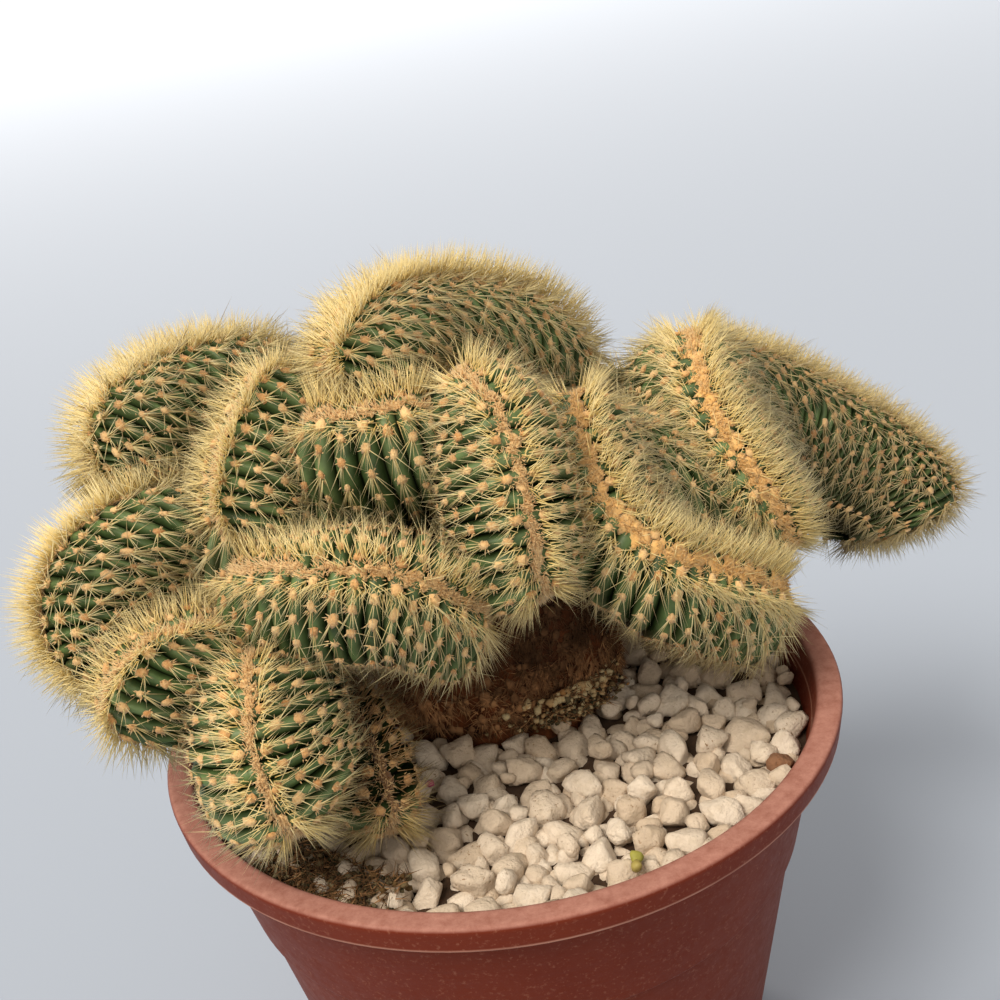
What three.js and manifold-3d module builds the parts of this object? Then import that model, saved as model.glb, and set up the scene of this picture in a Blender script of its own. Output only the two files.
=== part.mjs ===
// A crested column cactus in a round plastic pot, topped with pale pumice grit.
// Millimetres, +Z up. The origin is the centre of the pot's foot, and -Y is the side that faces the viewer.
import * as THREE from "three";
import { mergeVertices } from "three/addons/utils/BufferGeometryUtils.js";
import Module from "manifold-3d";

const wasm = await Module();
wasm.setup();

// The pot: a tapered tub with a stepped collar and a turned-down rim
const POT_HEIGHT = 120;
const RIM_RADIUS = 85;
const RIM_INNER_RADIUS = 78.8;
const RIM_WALL = 2;
const RIM_DEPTH = 6.5; // from the rim's top to the lower edge of its outer band
const RIM_ROUND = 1.6; // the rounding of its upper edges
const BAND_TAPER = 0.9; // how much the band narrows downwards
const STEP_HEIGHT = 82; // where the collar steps in to the body
const STEP_RADIUS = 72.6;
const STEP_INSET = 1.2;
const FOOT_RADIUS = 56;
const WALL = 1.6;
const FLOOR = 2.5;
const DRAIN_COUNT = 8;
const DRAIN_RADIUS = 4.5;
const DRAIN_CIRCLE = 38;
const DRAIN_SIDES = 10;
const ROUND_SIDES = 40;

// What fills the pot. FIT is the gap left between pieces that touch.
const FIT = 0.35;
const SOIL_TOP = 102;
const STONE_PITCH = 10.8; // from stone to stone, a little larger than life
const STONE_JITTER = 0.6; // the random share of a stone's place, in pitches
const STONE_TOP = 112.6;
const STONE_SPREAD = 1.5; // how far single stones stand above or below that
const STONE_ROUND = 1.1; // from a stone's top down to its shoulder
const STONE_SHOULDER = 0.3; // how far in from its foot the shoulder lies, as a share
const STONE_FOOT = 106.5; // the low points between stones

// The stem stands in plain holes in the grit and the soil. Width and depth are its half sizes at the grit.
const STEM_CENTRE = [0, 15];
const STEM_WIDTH = 31;
const STEM_DEPTH = 21;
const STEM_FOOT = 80;
const STEM_TOP = 150;
const STEM_SIDES = 22;
const BARK_RELIEF = 0.07; // the ridges of its corky skin above the grit, as a share of its radius

// The crest's skin: ribs run down both flanks from the growing edge, with areoles along them.
const RIB_PITCH = 8.4;
const RIB_RELIEF = 1.1;
const AREOLE_RELIEF = 0.9;
const EDGE_REACH = 1.15; // how far down the rounded edge reaches, in half thicknesses
const EDGE_SHARE = 0.42; // the share of the skin's rows that the rounded edge takes
const ROWS = [0.21, 0.5, 1]; // rows of the skin from the growing edge to the foot
const FOOT_SHARE = 0.5; // a fold's thickness at its foot, as a share of its thickness above
const END_ROUND = 15; // over this length a fold dives into the plant at its ends

// Spines, one at about seven in ten of the open places on the ribs
const SPINE_COUNT = 420;
const SPINE_LENGTH = 6.5;
const SPINE_VARIETY = 0.3; // the random share of that length
const SPINE_RADIUS = 0.36;
const SPINE_SUNK = 1.6;
const SPINE_LEAN = [0.25, 0.75]; // how far spines lean down the flank, least and most
const SPINE_SWAY = 0.45; // how far they lean aside at most

// Room above the rim and the stones that nothing but the stem reaches into
const CLEARANCE = 0.8;

// Each fold of the crest is a thick wall. Its growing edge runs through the crest points, and its foot
// lies along the root points inside the plant. half is half its thickness. The names say where a fold
// lies for the viewer.
const FOLDS = [
  {
    name: "left_back",
    half: 13,
    crest: [
      [-80, -4, 186], [-86, 3, 198], [-83, 9, 209], [-73, 18, 214],
      [-61, 26, 215], [-49, 35, 211], [-38, 42, 202],
    ],
    root: [[-54, 6, 176], [-36, 26, 174]],
  },
  {
    name: "left_middle",
    half: 13,
    crest: [
      [-56, 2, 184], [-66, -2, 190], [-80, -9, 191], [-92, -16, 185],
      [-97, -23, 175], [-95, -29, 165], [-86, -34, 157], [-76, -36, 152],
    ],
    root: [[-50, -8, 168], [-52, -18, 156]],
  },
  {
    name: "left_small",
    half: 10,
    crest: [
      [-50, -28, 168], [-62, -37, 173], [-71, -43, 173],
      [-79, -47, 167], [-82, -47, 157], [-79, -42, 147],
    ],
    root: [[-46, -18, 152], [-58, -28, 146]],
  },
  {
    name: "left_front",
    half: 17,
    crest: [
      [-49, -30, 165], [-50, -46, 166], [-50, -58, 160],
      [-49, -66, 151], [-46, -69, 141], [-41, -66, 128],
    ],
    root: [[-50, -18, 149], [-48, -34, 135]],
  },
  {
    name: "front_small",
    half: 9,
    crest: [[-38, -24, 149], [-32, -38, 144], [-27, -48, 136], [-26, -53, 126], [-28, -52, 114]],
    root: [[-38, -20, 136], [-36, -32, 120]],
  },
  {
    name: "front_middle",
    half: 14,
    crest: [
      [-58, -16, 174], [-50, -31, 181], [-37, -43, 185], [-24, -48, 185],
      [-13, -48, 181], [-5, -45, 174], [1, -39, 166], [5, -31, 159],
    ],
    root: [[-44, -18, 150], [-8, -16, 152]],
  },
  {
    name: "left_centre",
    half: 12.5,
    crest: [
      [-32, 8, 212], [-40, -2, 215], [-47, -10, 209],
      [-52, -17, 201], [-55, -23, 191], [-55, -26, 180],
    ],
    root: [[-28, 6, 186], [-36, -8, 168]],
  },
  {
    name: "top",
    half: 14,
    crest: [
      [32, 50, 180], [31, 45, 196], [23, 35, 211], [8, 23, 222],
      [-7, 11, 227], [-18, -1, 226], [-25, -11, 219], [-27, -13, 207],
    ],
    root: [[16, 24, 174], [-10, 8, 184]],
  },
  {
    name: "centre_bend",
    half: 12.5,
    crest: [[-38, -6, 204], [-31, -16, 208], [-20, -21, 208], [-8, -21, 209], [5, -16, 207]],
    root: [[-24, 4, 162], [0, 6, 164]],
  },
  {
    name: "centre_front",
    half: 14.5,
    crest: [
      [-2, -2, 208], [4, -17, 212], [10, -29, 208], [12, -37, 198],
      [13, -42, 188], [13, -43, 178], [14, -40, 168], [15, -33, 160],
    ],
    root: [[2, 10, 182], [4, -8, 162]],
  },
  {
    name: "right_centre",
    half: 13,
    crest: [
      [28, 4, 203], [27, -12, 199], [28, -23, 189], [33, -31, 178], [42, -34, 170],
      [52, -30, 163], [62, -25, 156], [71, -15, 146], [70, -2, 138],
    ],
    root: [[26, 6, 176], [38, -8, 144], [52, -2, 130]],
  },
  {
    name: "right",
    half: 16.5,
    crest: [
      [61, 58, 178], [62, 46, 190], [61, 33, 196], [60, 21, 193], [60, 11, 187],
      [63, 3, 180], [67, -2, 172], [72, -4, 163], [76, -2, 152], [78, 5, 140],
    ],
    root: [[56, 46, 152], [60, 30, 152], [66, 20, 144]],
  },
  {
    name: "far_right",
    half: 14,
    crest: [
      [56, 44, 180], [68, 50, 188], [86, 57, 179], [102, 61, 167],
      [120, 63, 152], [132, 62, 139], [136, 58, 128], [128, 52, 120],
    ],
    root: [[62, 38, 146], [104, 46, 124]],
  },
  {
    name: "back_top",
    half: 14,
    crest: [
      [-56, 46, 176], [-44, 54, 190], [-24, 62, 200], [0, 65, 201],
      [18, 62, 193], [32, 58, 180], [38, 52, 166],
    ],
    root: [[-30, 32, 168], [18, 34, 164]],
  },
  {
    name: "back_left",
    half: 13,
    crest: [
      [-80, -8, 168], [-90, 6, 160], [-90, 24, 153], [-80, 42, 152],
      [-65, 56, 157], [-50, 67, 159], [-38, 74, 150], [-33, 72, 138],
    ],
    root: [[-60, 0, 156], [-54, 24, 148], [-36, 40, 144]],
  },
  {
    name: "back_right",
    half: 13.5,
    crest: [
      [-12, 64, 184], [-11, 75, 171], [-3, 81, 157], [12, 84, 148], [28, 83, 151],
      [42, 80, 161], [56, 78, 168], [70, 77, 165], [80, 74, 154], [84, 66, 140],
    ],
    root: [[-6, 40, 168], [12, 42, 150], [46, 42, 160], [68, 44, 146]],
  },
];

// Rounded lumps of flesh that the folds grow from: centre and half sizes.
const FLESH = [
  { at: [-4, 10, 174], size: [38, 28, 30] },
  { at: [-42, -2, 171], size: [31, 27, 25] },
  { at: [-48, -16, 158], size: [20, 20, 22] },
  { at: [42, 16, 156], size: [30, 27, 28] },
  { at: [68, 42, 154], size: [20, 18, 26] },
  { at: [46, 42, 150], size: [18, 18, 18] },
  { at: [-2, 42, 164], size: [48, 26, 32] },
];
const FLESH_SIDES = 14;

// A seeded random number from 0 to 1, so that every build is the same.
function seeded(seed) {
  let state = seed >>> 0;
  return () => {
    state = (Math.imul(state, 1664525) + 1013904223) >>> 0;
    return state / 2 ** 32;
  };
}

const v3 = (p) => new THREE.Vector3(...p);

// A geometry of bare triangles from points and, unless they come three by three, an index.
function geometryFrom(points, index) {
  const geometry = new THREE.BufferGeometry();
  const numbers = points.flatMap(({ x, y, z }) => [x, y, z]);
  geometry.setAttribute("position", new THREE.Float32BufferAttribute(numbers, 3));
  if (index) geometry.setIndex(index);
  return geometry;
}

// A closed geometry as a solid that can be joined and cut.
function solidOf(geometry) {
  const bare = geometry.clone();
  bare.deleteAttribute("normal");
  bare.deleteAttribute("uv");
  const merged = mergeVertices(bare, 1e-4);
  return new wasm.Manifold(
    new wasm.Mesh({
      numProp: 3,
      vertProperties: new Float32Array(merged.attributes.position.array),
      triVerts: new Uint32Array(merged.index.array),
    }),
  );
}

// A solid as a geometry again.
function geometryOf(solid) {
  const mesh = solid.getMesh();
  const geometry = new THREE.BufferGeometry();
  geometry.setAttribute("position", new THREE.BufferAttribute(new Float32Array(mesh.vertProperties), 3));
  geometry.setIndex(new THREE.BufferAttribute(new Uint32Array(mesh.triVerts), 1));
  geometry.computeVertexNormals();
  return geometry;
}

// A round solid about the Z axis from a profile of [radius, height] pairs.
function turned(profile, sides = ROUND_SIDES) {
  const points = profile.map(([r, z]) => new THREE.Vector2(r, z));
  return new THREE.LatheGeometry(points, sides).rotateX(Math.PI / 2);
}

// The radius of the pot's outer wall, from its foot to under the rim.
function outerRadius(z) {
  const { lerp } = THREE.MathUtils;
  if (z < STEP_HEIGHT) return lerp(FOOT_RADIUS, STEP_RADIUS - STEP_INSET, z / STEP_HEIGHT);
  return lerp(STEP_RADIUS, RIM_INNER_RADIUS + WALL, (z - STEP_HEIGHT) / (POT_HEIGHT - STEP_HEIGHT));
}

// The radius of its inner wall.
function innerRadius(z) {
  const { lerp } = THREE.MathUtils;
  const atStep = outerRadius(STEP_HEIGHT - 1) - WALL;
  if (z < STEP_HEIGHT) return lerp(FOOT_RADIUS - WALL, atStep, z / STEP_HEIGHT);
  return lerp(atStep, RIM_INNER_RADIUS, (z - STEP_HEIGHT) / (POT_HEIGHT - STEP_HEIGHT));
}

function pot() {
  const bandLow = POT_HEIGHT - RIM_DEPTH;
  const underRim = POT_HEIGHT - RIM_WALL;
  const lip = POT_HEIGHT - RIM_ROUND;
  const shell = solidOf(
    turned([
      [0, 0],
      [FOOT_RADIUS, 0],
      [outerRadius(STEP_HEIGHT - 1), STEP_HEIGHT - 1],
      [STEP_RADIUS, STEP_HEIGHT],
      [outerRadius(underRim), underRim],
      [RIM_RADIUS - RIM_WALL, underRim],
      [RIM_RADIUS - BAND_TAPER - RIM_WALL, bandLow],
      [RIM_RADIUS - BAND_TAPER, bandLow],
      [RIM_RADIUS, lip],
      [RIM_RADIUS - RIM_ROUND, POT_HEIGHT],
      [RIM_INNER_RADIUS + RIM_ROUND / 2, POT_HEIGHT],
      [innerRadius(lip), lip],
      [innerRadius(STEP_HEIGHT), STEP_HEIGHT],
      [innerRadius(FLOOR), FLOOR],
      [0, FLOOR],
    ]),
  );
  const drains = [];
  for (let i = 0; i < DRAIN_COUNT; i++) {
    const angle = (2 * Math.PI * i) / DRAIN_COUNT;
    const drill = new THREE.CylinderGeometry(DRAIN_RADIUS, DRAIN_RADIUS, 4 * FLOOR, DRAIN_SIDES);
    drill.rotateX(Math.PI / 2);
    drill.translate(DRAIN_CIRCLE * Math.cos(angle), DRAIN_CIRCLE * Math.sin(angle), FLOOR / 2);
    drains.push(solidOf(drill));
  }
  return geometryOf(drains.reduce((solid, drill) => solid.subtract(drill), shell));
}

// Raises corky ridges round the stem where it stands clear of the grit.
function roughen(geometry) {
  const { position } = geometry.attributes;
  for (let i = 0; i < position.count; i++) {
    const [x, y, z] = [position.getX(i), position.getY(i), position.getZ(i)];
    if (z < STONE_TOP + 5 || z >= STEM_TOP) continue;
    const angle = Math.atan2(y, x);
    const swell = 1 + BARK_RELIEF * (Math.sin(3 * angle + z / 6) + Math.sin(8 * angle - z / 5)) / 2;
    position.setXY(i, x * swell, y * swell);
  }
}

// The stem from its foot in the soil up into the flesh, or the plain hole around it. The profile's radii
// are shares of its width and depth.
function stem(clearance = 0) {
  const low = STEM_FOOT - clearance;
  const profile = [
    [0, low],
    [0.54, low],
    [0.74, STEM_FOOT + 8],
    [0.96, SOIL_TOP],
    [1, STONE_TOP + 4],
    [0.98, STONE_TOP + 11],
    [1.02, STONE_TOP + 18],
    [1.06, STONE_TOP + 26],
    [1.12, STEM_TOP],
    [0, STEM_TOP],
  ];
  const geometry = turned(profile, STEM_SIDES);
  roughen(geometry);
  geometry.scale(STEM_WIDTH + clearance, STEM_DEPTH + clearance, 1);
  geometry.translate(...STEM_CENTRE, 0);
  return solidOf(geometry);
}

// The inside of the pot between two heights, less the clearance.
function filling(low, high) {
  const heights = [low, STEP_HEIGHT, high].filter((z) => z >= low && z <= high);
  const wall = heights.map((z) => [innerRadius(z) - FIT, z]);
  return solidOf(turned([[0, low], ...wall, [0, high]]));
}

function soil() {
  return geometryOf(filling(FLOOR + FIT, SOIL_TOP).subtract(stem(FIT)));
}

// The stones' tops: a triangular grid with random offsets, by row and column.
function stonePlaces(reach) {
  const random = seeded(7);
  const offset = () => (random() - 0.5) * STONE_PITCH * STONE_JITTER;
  const places = new Map();
  for (let row = -reach; row <= reach; row++) {
    for (let column = -reach; column <= reach; column++) {
      const x = (column + (row & 1) / 2) * STONE_PITCH + offset();
      const y = row * STONE_PITCH * Math.sqrt(0.75) + offset();
      const z = STONE_TOP + (random() - 0.5) * 2 * STONE_SPREAD;
      places.set(`${row},${column}`, new THREE.Vector3(x, y, z));
    }
  }
  return places;
}

// A close-packed bed of rounded stones. Each one's foot runs through the low points between it and its six
// neighbours, and its shoulder lies a little in from there.
function stoneBed() {
  const reach = Math.ceil(RIM_RADIUS / STONE_PITCH / Math.sqrt(0.75)) + 2;
  const places = stonePlaces(reach);
  const floor = SOIL_TOP + FIT;
  const points = [];
  const outline = new Map();
  const key = ({ x, y }) => `${x.toFixed(3)},${y.toFixed(3)}`;
  for (let row = 1 - reach; row < reach; row++) {
    for (let column = 1 - reach; column < reach; column++) {
      const top = places.get(`${row},${column}`);
      const shift = column + (row & 1);
      const around = [
        [row, column + 1], [row + 1, shift], [row + 1, shift - 1],
        [row, column - 1], [row - 1, shift - 1], [row - 1, shift],
      ].map(([r, c]) => places.get(`${r},${c}`));
      const foot = around.map((near, i) =>
        top.clone().add(near).add(around[(i + 1) % 6]).divideScalar(3).setZ(STONE_FOOT),
      );
      const shoulder = foot.map((p) => p.clone().lerp(top, STONE_SHOULDER).setZ(top.z - STONE_ROUND));
      for (let i = 0; i < 6; i++) {
        const j = (i + 1) % 6;
        points.push(foot[i], foot[j], shoulder[j]);
        points.push(foot[i], shoulder[j], shoulder[i]);
        points.push(shoulder[i], shoulder[j], top);
        const twin = `${key(foot[j])}|${key(foot[i])}`;
        if (outline.has(twin)) outline.delete(twin);
        else outline.set(`${key(foot[i])}|${key(foot[j])}`, [foot[i], foot[j]]);
      }
    }
  }
  // The bed's outline gets a skirt down to its floor, and the floor is a fan.
  const middle = new THREE.Vector3(0, 0, floor);
  for (const [a, b] of outline.values()) {
    const lowA = a.clone().setZ(floor);
    const lowB = b.clone().setZ(floor);
    points.push(b, a, lowA);
    points.push(b, lowA, lowB);
    points.push(lowB, lowA, middle);
  }
  return solidOf(geometryFrom(points));
}

function pumice() {
  return geometryOf(stoneBed().intersect(filling(SOIL_TOP, POT_HEIGHT - RIM_WALL)).subtract(stem(FIT)));
}

// The frame of a fold at share t of its crest: the root point, the ways along the crest, out to it and
// across the wall, and how far the wall has risen from its rounded end.
function foldAt(fold, t) {
  const along = fold.crestCurve.getTangentAt(t);
  const root = fold.rootCurve.getPoint(t);
  const fromEnd = Math.min(t, 1 - t) * fold.length;
  const rise = Math.sqrt(Math.max(0.004, 1 - Math.max(0, 1 - fromEnd / END_ROUND) ** 2));
  const out = fold.crestCurve.getPointAt(t).sub(root);
  const depth = out.length() * rise;
  out.normalize();
  const across = new THREE.Vector3().crossVectors(along, out).normalize();
  return { root, along, out, across, depth, rise, half: fold.half * rise };
}

// A point of the wall's skin, with the way out of the skin and the way down the flank. side is -1 or 1,
// and down runs from 0 on the growing edge, over its rounding, to 1 at the foot.
function skin({ root, out, across, depth, half }, side, down) {
  const edge = Math.min(EDGE_REACH * half, 0.6 * depth);
  const angle = (Math.min(down / EDGE_SHARE, 1) * Math.PI) / 2;
  const flank = Math.max(0, (down - EDGE_SHARE) / (1 - EDGE_SHARE));
  const cos = Math.cos(angle);
  const sin = Math.sin(angle);
  const height = depth - edge * (1 - cos) - (depth - edge) * flank;
  const width = side * half * sin * (1 - (1 - FOOT_SHARE) * flank);
  const point = root.clone().addScaledVector(out, height).addScaledVector(across, width);
  const normal = out.clone().multiplyScalar(cos).addScaledVector(across, side * sin);
  const downhill = out.clone().multiplyScalar(-sin).addScaledVector(across, side * cos);
  return { point, normal, downhill };
}

// The relief of the skin at step i along the crest and row k down the flank: ribs, with a bump at each
// areole.
function relief(i, k) {
  if (i % 2 === 0) return -RIB_RELIEF * Math.min(1, (k + 1) / 2);
  const rib = (i - 1) / 2;
  return (rib + k) % 2 === 0 ? AREOLE_RELIEF : 0;
}

// A fold with its curves and the rings of its skin, from one end of its crest to the other. Each ring
// runs from one foot over the growing edge to the other foot.
function grown(fold) {
  const crestCurve = new THREE.CatmullRomCurve3(fold.crest.map(v3), false, "catmullrom");
  const rootCurve = new THREE.CatmullRomCurve3(fold.root.map(v3), false, "catmullrom");
  const length = crestCurve.getLength();
  const steps = 2 * Math.round(length / RIB_PITCH);
  const whole = { ...fold, crestCurve, rootCurve, length, steps };
  whole.rings = Array.from({ length: steps + 1 }, (_, i) => {
    const frame = foldAt(whole, i / steps);
    const flank = (side) =>
      ROWS.map((down, k) => {
        const place = skin(frame, side, down);
        place.point.addScaledVector(place.normal, relief(i, k) * frame.rise);
        return place;
      });
    const top = { ...skin(frame, 1, 0), downhill: frame.along };
    return [...flank(-1).reverse(), top, ...flank(1)];
  });
  return whole;
}

function foldSolid({ rings }) {
  const count = rings[0].length;
  const last = (rings.length - 1) * count;
  const index = [];
  for (let i = 0; i < rings.length - 1; i++) {
    for (let j = 0; j < count; j++) {
      const a = i * count + j;
      const b = i * count + ((j + 1) % count);
      index.push(a, b, b + count, a, b + count, a + count);
    }
  }
  for (let j = 1; j < count - 1; j++) {
    index.push(0, j + 1, j, last, last + j, last + j + 1);
  }
  return solidOf(geometryFrom(rings.flat().map(({ point }) => point), index));
}

function lump({ at, size }) {
  const geometry = new THREE.SphereGeometry(1, FLESH_SIDES, FLESH_SIDES / 2);
  return solidOf(geometry.scale(...size).translate(...at));
}

// True if a point lies inside a fold other than its own, or in the flesh.
function isBuried(point, own, folds) {
  const inLump = ({ at, size }) => point.clone().sub(v3(at)).divide(v3(size)).length() < 1;
  const inFold = (fold) => {
    for (let i = 0; i <= fold.steps; i++) {
      const { root, out, depth, half } = foldAt(fold, i / fold.steps);
      const height = THREE.MathUtils.clamp(point.clone().sub(root).dot(out), 0, depth - half);
      if (root.clone().addScaledVector(out, height).distanceTo(point) < half) return true;
    }
    return false;
  };
  return FLESH.some(inLump) || folds.some((fold) => fold !== own && inFold(fold));
}

// Where spines can stand: at every open row of each rib, well inside one triangle of the skin.
function openAreoles(folds) {
  const found = [];
  for (const fold of folds) {
    for (let i = 1; i < fold.steps; i += 2) {
      const ring = fold.rings[i];
      const nextRing = fold.rings[i + 1];
      for (let j = 1; j < ring.length - 1; j++) {
        const { point, normal, downhill } = ring[j];
        const beside = ring[j + 1].point.clone().add(nextRing[j + 1].point).divideScalar(2);
        const place = point.clone().add(beside).divideScalar(2);
        const above = place.clone().addScaledVector(normal, 2);
        if (!isBuried(above, fold, folds)) found.push({ place, normal, downhill });
      }
    }
  }
  return found;
}

// A three-sided spine from a sunk root to its tip.
function spine(root, tip) {
  const along = tip.clone().sub(root).normalize();
  const aside = new THREE.Vector3(along.y, along.z, along.x).cross(along).normalize();
  const corners = [0, 1, 2].map((i) => {
    const way = aside.clone().applyAxisAngle(along, (i * 2 * Math.PI) / 3);
    return root.clone().addScaledVector(way, SPINE_RADIUS);
  });
  return solidOf(geometryFrom([...corners, tip], [0, 2, 1, 0, 1, 3, 1, 2, 3, 2, 0, 3]));
}

// The spines, spread evenly over those places.
function spines(folds) {
  const random = seeded(21);
  const sites = openAreoles(folds);
  const made = [];
  for (let n = 0; n < SPINE_COUNT; n++) {
    const { place, normal, downhill } = sites[Math.floor((n * sites.length) / SPINE_COUNT)];
    const lean = THREE.MathUtils.lerp(...SPINE_LEAN, random());
    const sway = (random() * 2 - 1) * SPINE_SWAY;
    const aside = new THREE.Vector3().crossVectors(normal, downhill);
    const way = normal.clone().addScaledVector(downhill, lean).addScaledVector(aside, sway).normalize();
    const length = SPINE_LENGTH * (1 + SPINE_VARIETY * (random() - 0.5));
    const root = place.clone().addScaledVector(way, -SPINE_SUNK);
    made.push(spine(root, place.clone().addScaledVector(way, length)));
  }
  return wasm.Manifold.union(made);
}

// The room of the pot's rim and the stones.
function keptClear() {
  const overRim = POT_HEIGHT + CLEARANCE;
  const overStones = STONE_TOP + STONE_SPREAD + CLEARANCE;
  return solidOf(
    turned([
      [0, STEM_FOOT],
      [RIM_RADIUS + CLEARANCE, STEM_FOOT],
      [RIM_RADIUS + CLEARANCE, overRim],
      [RIM_INNER_RADIUS - CLEARANCE, overRim],
      [RIM_INNER_RADIUS - 2 * CLEARANCE, overStones],
      [0, overStones],
    ]),
  );
}

// The whole plant in one piece. Tips that the pot's room cuts loose are left out.
function cactus() {
  const folds = FOLDS.map(grown);
  const flesh = wasm.Manifold.union([...folds.map(foldSolid), ...FLESH.map(lump)]);
  const plant = flesh.add(spines(folds)).subtract(keptClear()).add(stem());
  const pieces = plant.decompose().sort((a, b) => b.volume() - a.volume());
  return geometryOf(pieces[0]);
}

const FINISH = {
  pot: new THREE.MeshStandardMaterial({ color: "#9a5240", roughness: 0.55, metalness: 0 }),
  soil: new THREE.MeshStandardMaterial({ color: "#3b2c20", roughness: 1, metalness: 0 }),
  pumice: new THREE.MeshStandardMaterial({ color: "#cdb69a", roughness: 0.95, metalness: 0 }),
  cactus: new THREE.MeshStandardMaterial({ color: "#6f7a45", roughness: 0.6, metalness: 0 }),
};

const pottedCactus = new THREE.Group();
for (const [name, build] of Object.entries({ pot, soil, pumice, cactus })) {
  const mesh = new THREE.Mesh(build(), FINISH[name]);
  mesh.name = name;
  pottedCactus.add(mesh);
}

export default pottedCactus;
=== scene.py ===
"""A potted crested column cactus in its finishes: ribbed green skin under golden bristles, pale pumice grit
and a moulded terracotta-coloured pot. Lengths are in millimetres until a mesh is made, and Blender's own are
in metres."""

import math
from collections import namedtuple

import bpy
import numpy as np
from mathutils import Matrix, Vector
from mathutils.bvhtree import BVHTree


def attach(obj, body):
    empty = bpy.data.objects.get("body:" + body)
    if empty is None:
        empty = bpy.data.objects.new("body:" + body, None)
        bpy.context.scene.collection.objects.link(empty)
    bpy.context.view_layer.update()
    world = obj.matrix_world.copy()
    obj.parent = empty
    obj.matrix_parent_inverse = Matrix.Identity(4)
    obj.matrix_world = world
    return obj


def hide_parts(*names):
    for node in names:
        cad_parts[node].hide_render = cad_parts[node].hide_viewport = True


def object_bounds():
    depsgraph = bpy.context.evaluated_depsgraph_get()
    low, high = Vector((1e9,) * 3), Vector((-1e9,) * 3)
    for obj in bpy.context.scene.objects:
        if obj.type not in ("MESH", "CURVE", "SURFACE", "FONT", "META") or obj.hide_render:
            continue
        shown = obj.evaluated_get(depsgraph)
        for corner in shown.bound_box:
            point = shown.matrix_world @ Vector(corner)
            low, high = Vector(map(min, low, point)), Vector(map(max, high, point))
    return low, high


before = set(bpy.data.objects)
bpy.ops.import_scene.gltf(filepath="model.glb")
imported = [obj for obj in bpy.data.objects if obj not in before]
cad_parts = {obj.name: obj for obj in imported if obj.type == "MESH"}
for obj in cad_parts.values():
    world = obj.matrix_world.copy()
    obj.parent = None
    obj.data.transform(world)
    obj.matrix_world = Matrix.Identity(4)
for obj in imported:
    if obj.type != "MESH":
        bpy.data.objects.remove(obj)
CAD_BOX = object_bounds()
MM = 0.001

# The camera stands where the photograph was taken from, a little rolled.
CAMERA_PLACE = (0.0075, -0.2979, 0.3101)
CAMERA_DOWN = 24.6
CAMERA_ROLL = -8.7
CAMERA_ANGLE = 40

# The pot, as in the construction
POT_HEIGHT = 120
RIM_RADIUS = 85
RIM_INNER_RADIUS = 78.8
RIM_WALL = 2
RIM_DEPTH = 6.5
RIM_ROUND = 1.3
BAND_TAPER = 0.9
STEP_HEIGHT = 82
STEP_RADIUS = 72.6
STEP_INSET = 1.2
FOOT_RADIUS = 56
WALL = 1.6
FLOOR = 2.5
DRAIN_COUNT = 8
DRAIN_RADIUS = 4.5
DRAIN_CIRCLE = 38
DRAIN_SIDES = 24
POT_SIDES = 128
SMALL_ROUND = 0.4  # the moulded rounding of its other edges

# The grit and the stem
STONE_TOP = 112.6
STONE_SPREAD = 1.5
LAYER_STEP = 3  # how far the lower layer of stones lies under the upper one
FINES_LOW = 106.8
FINES_SPREAD = 1.2
STEM_CENTRE = (0, 15)
STEM_WIDTH = 31
STEM_DEPTH = 21
STEM_FOOT = 106
STEM_TOP = 150

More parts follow.
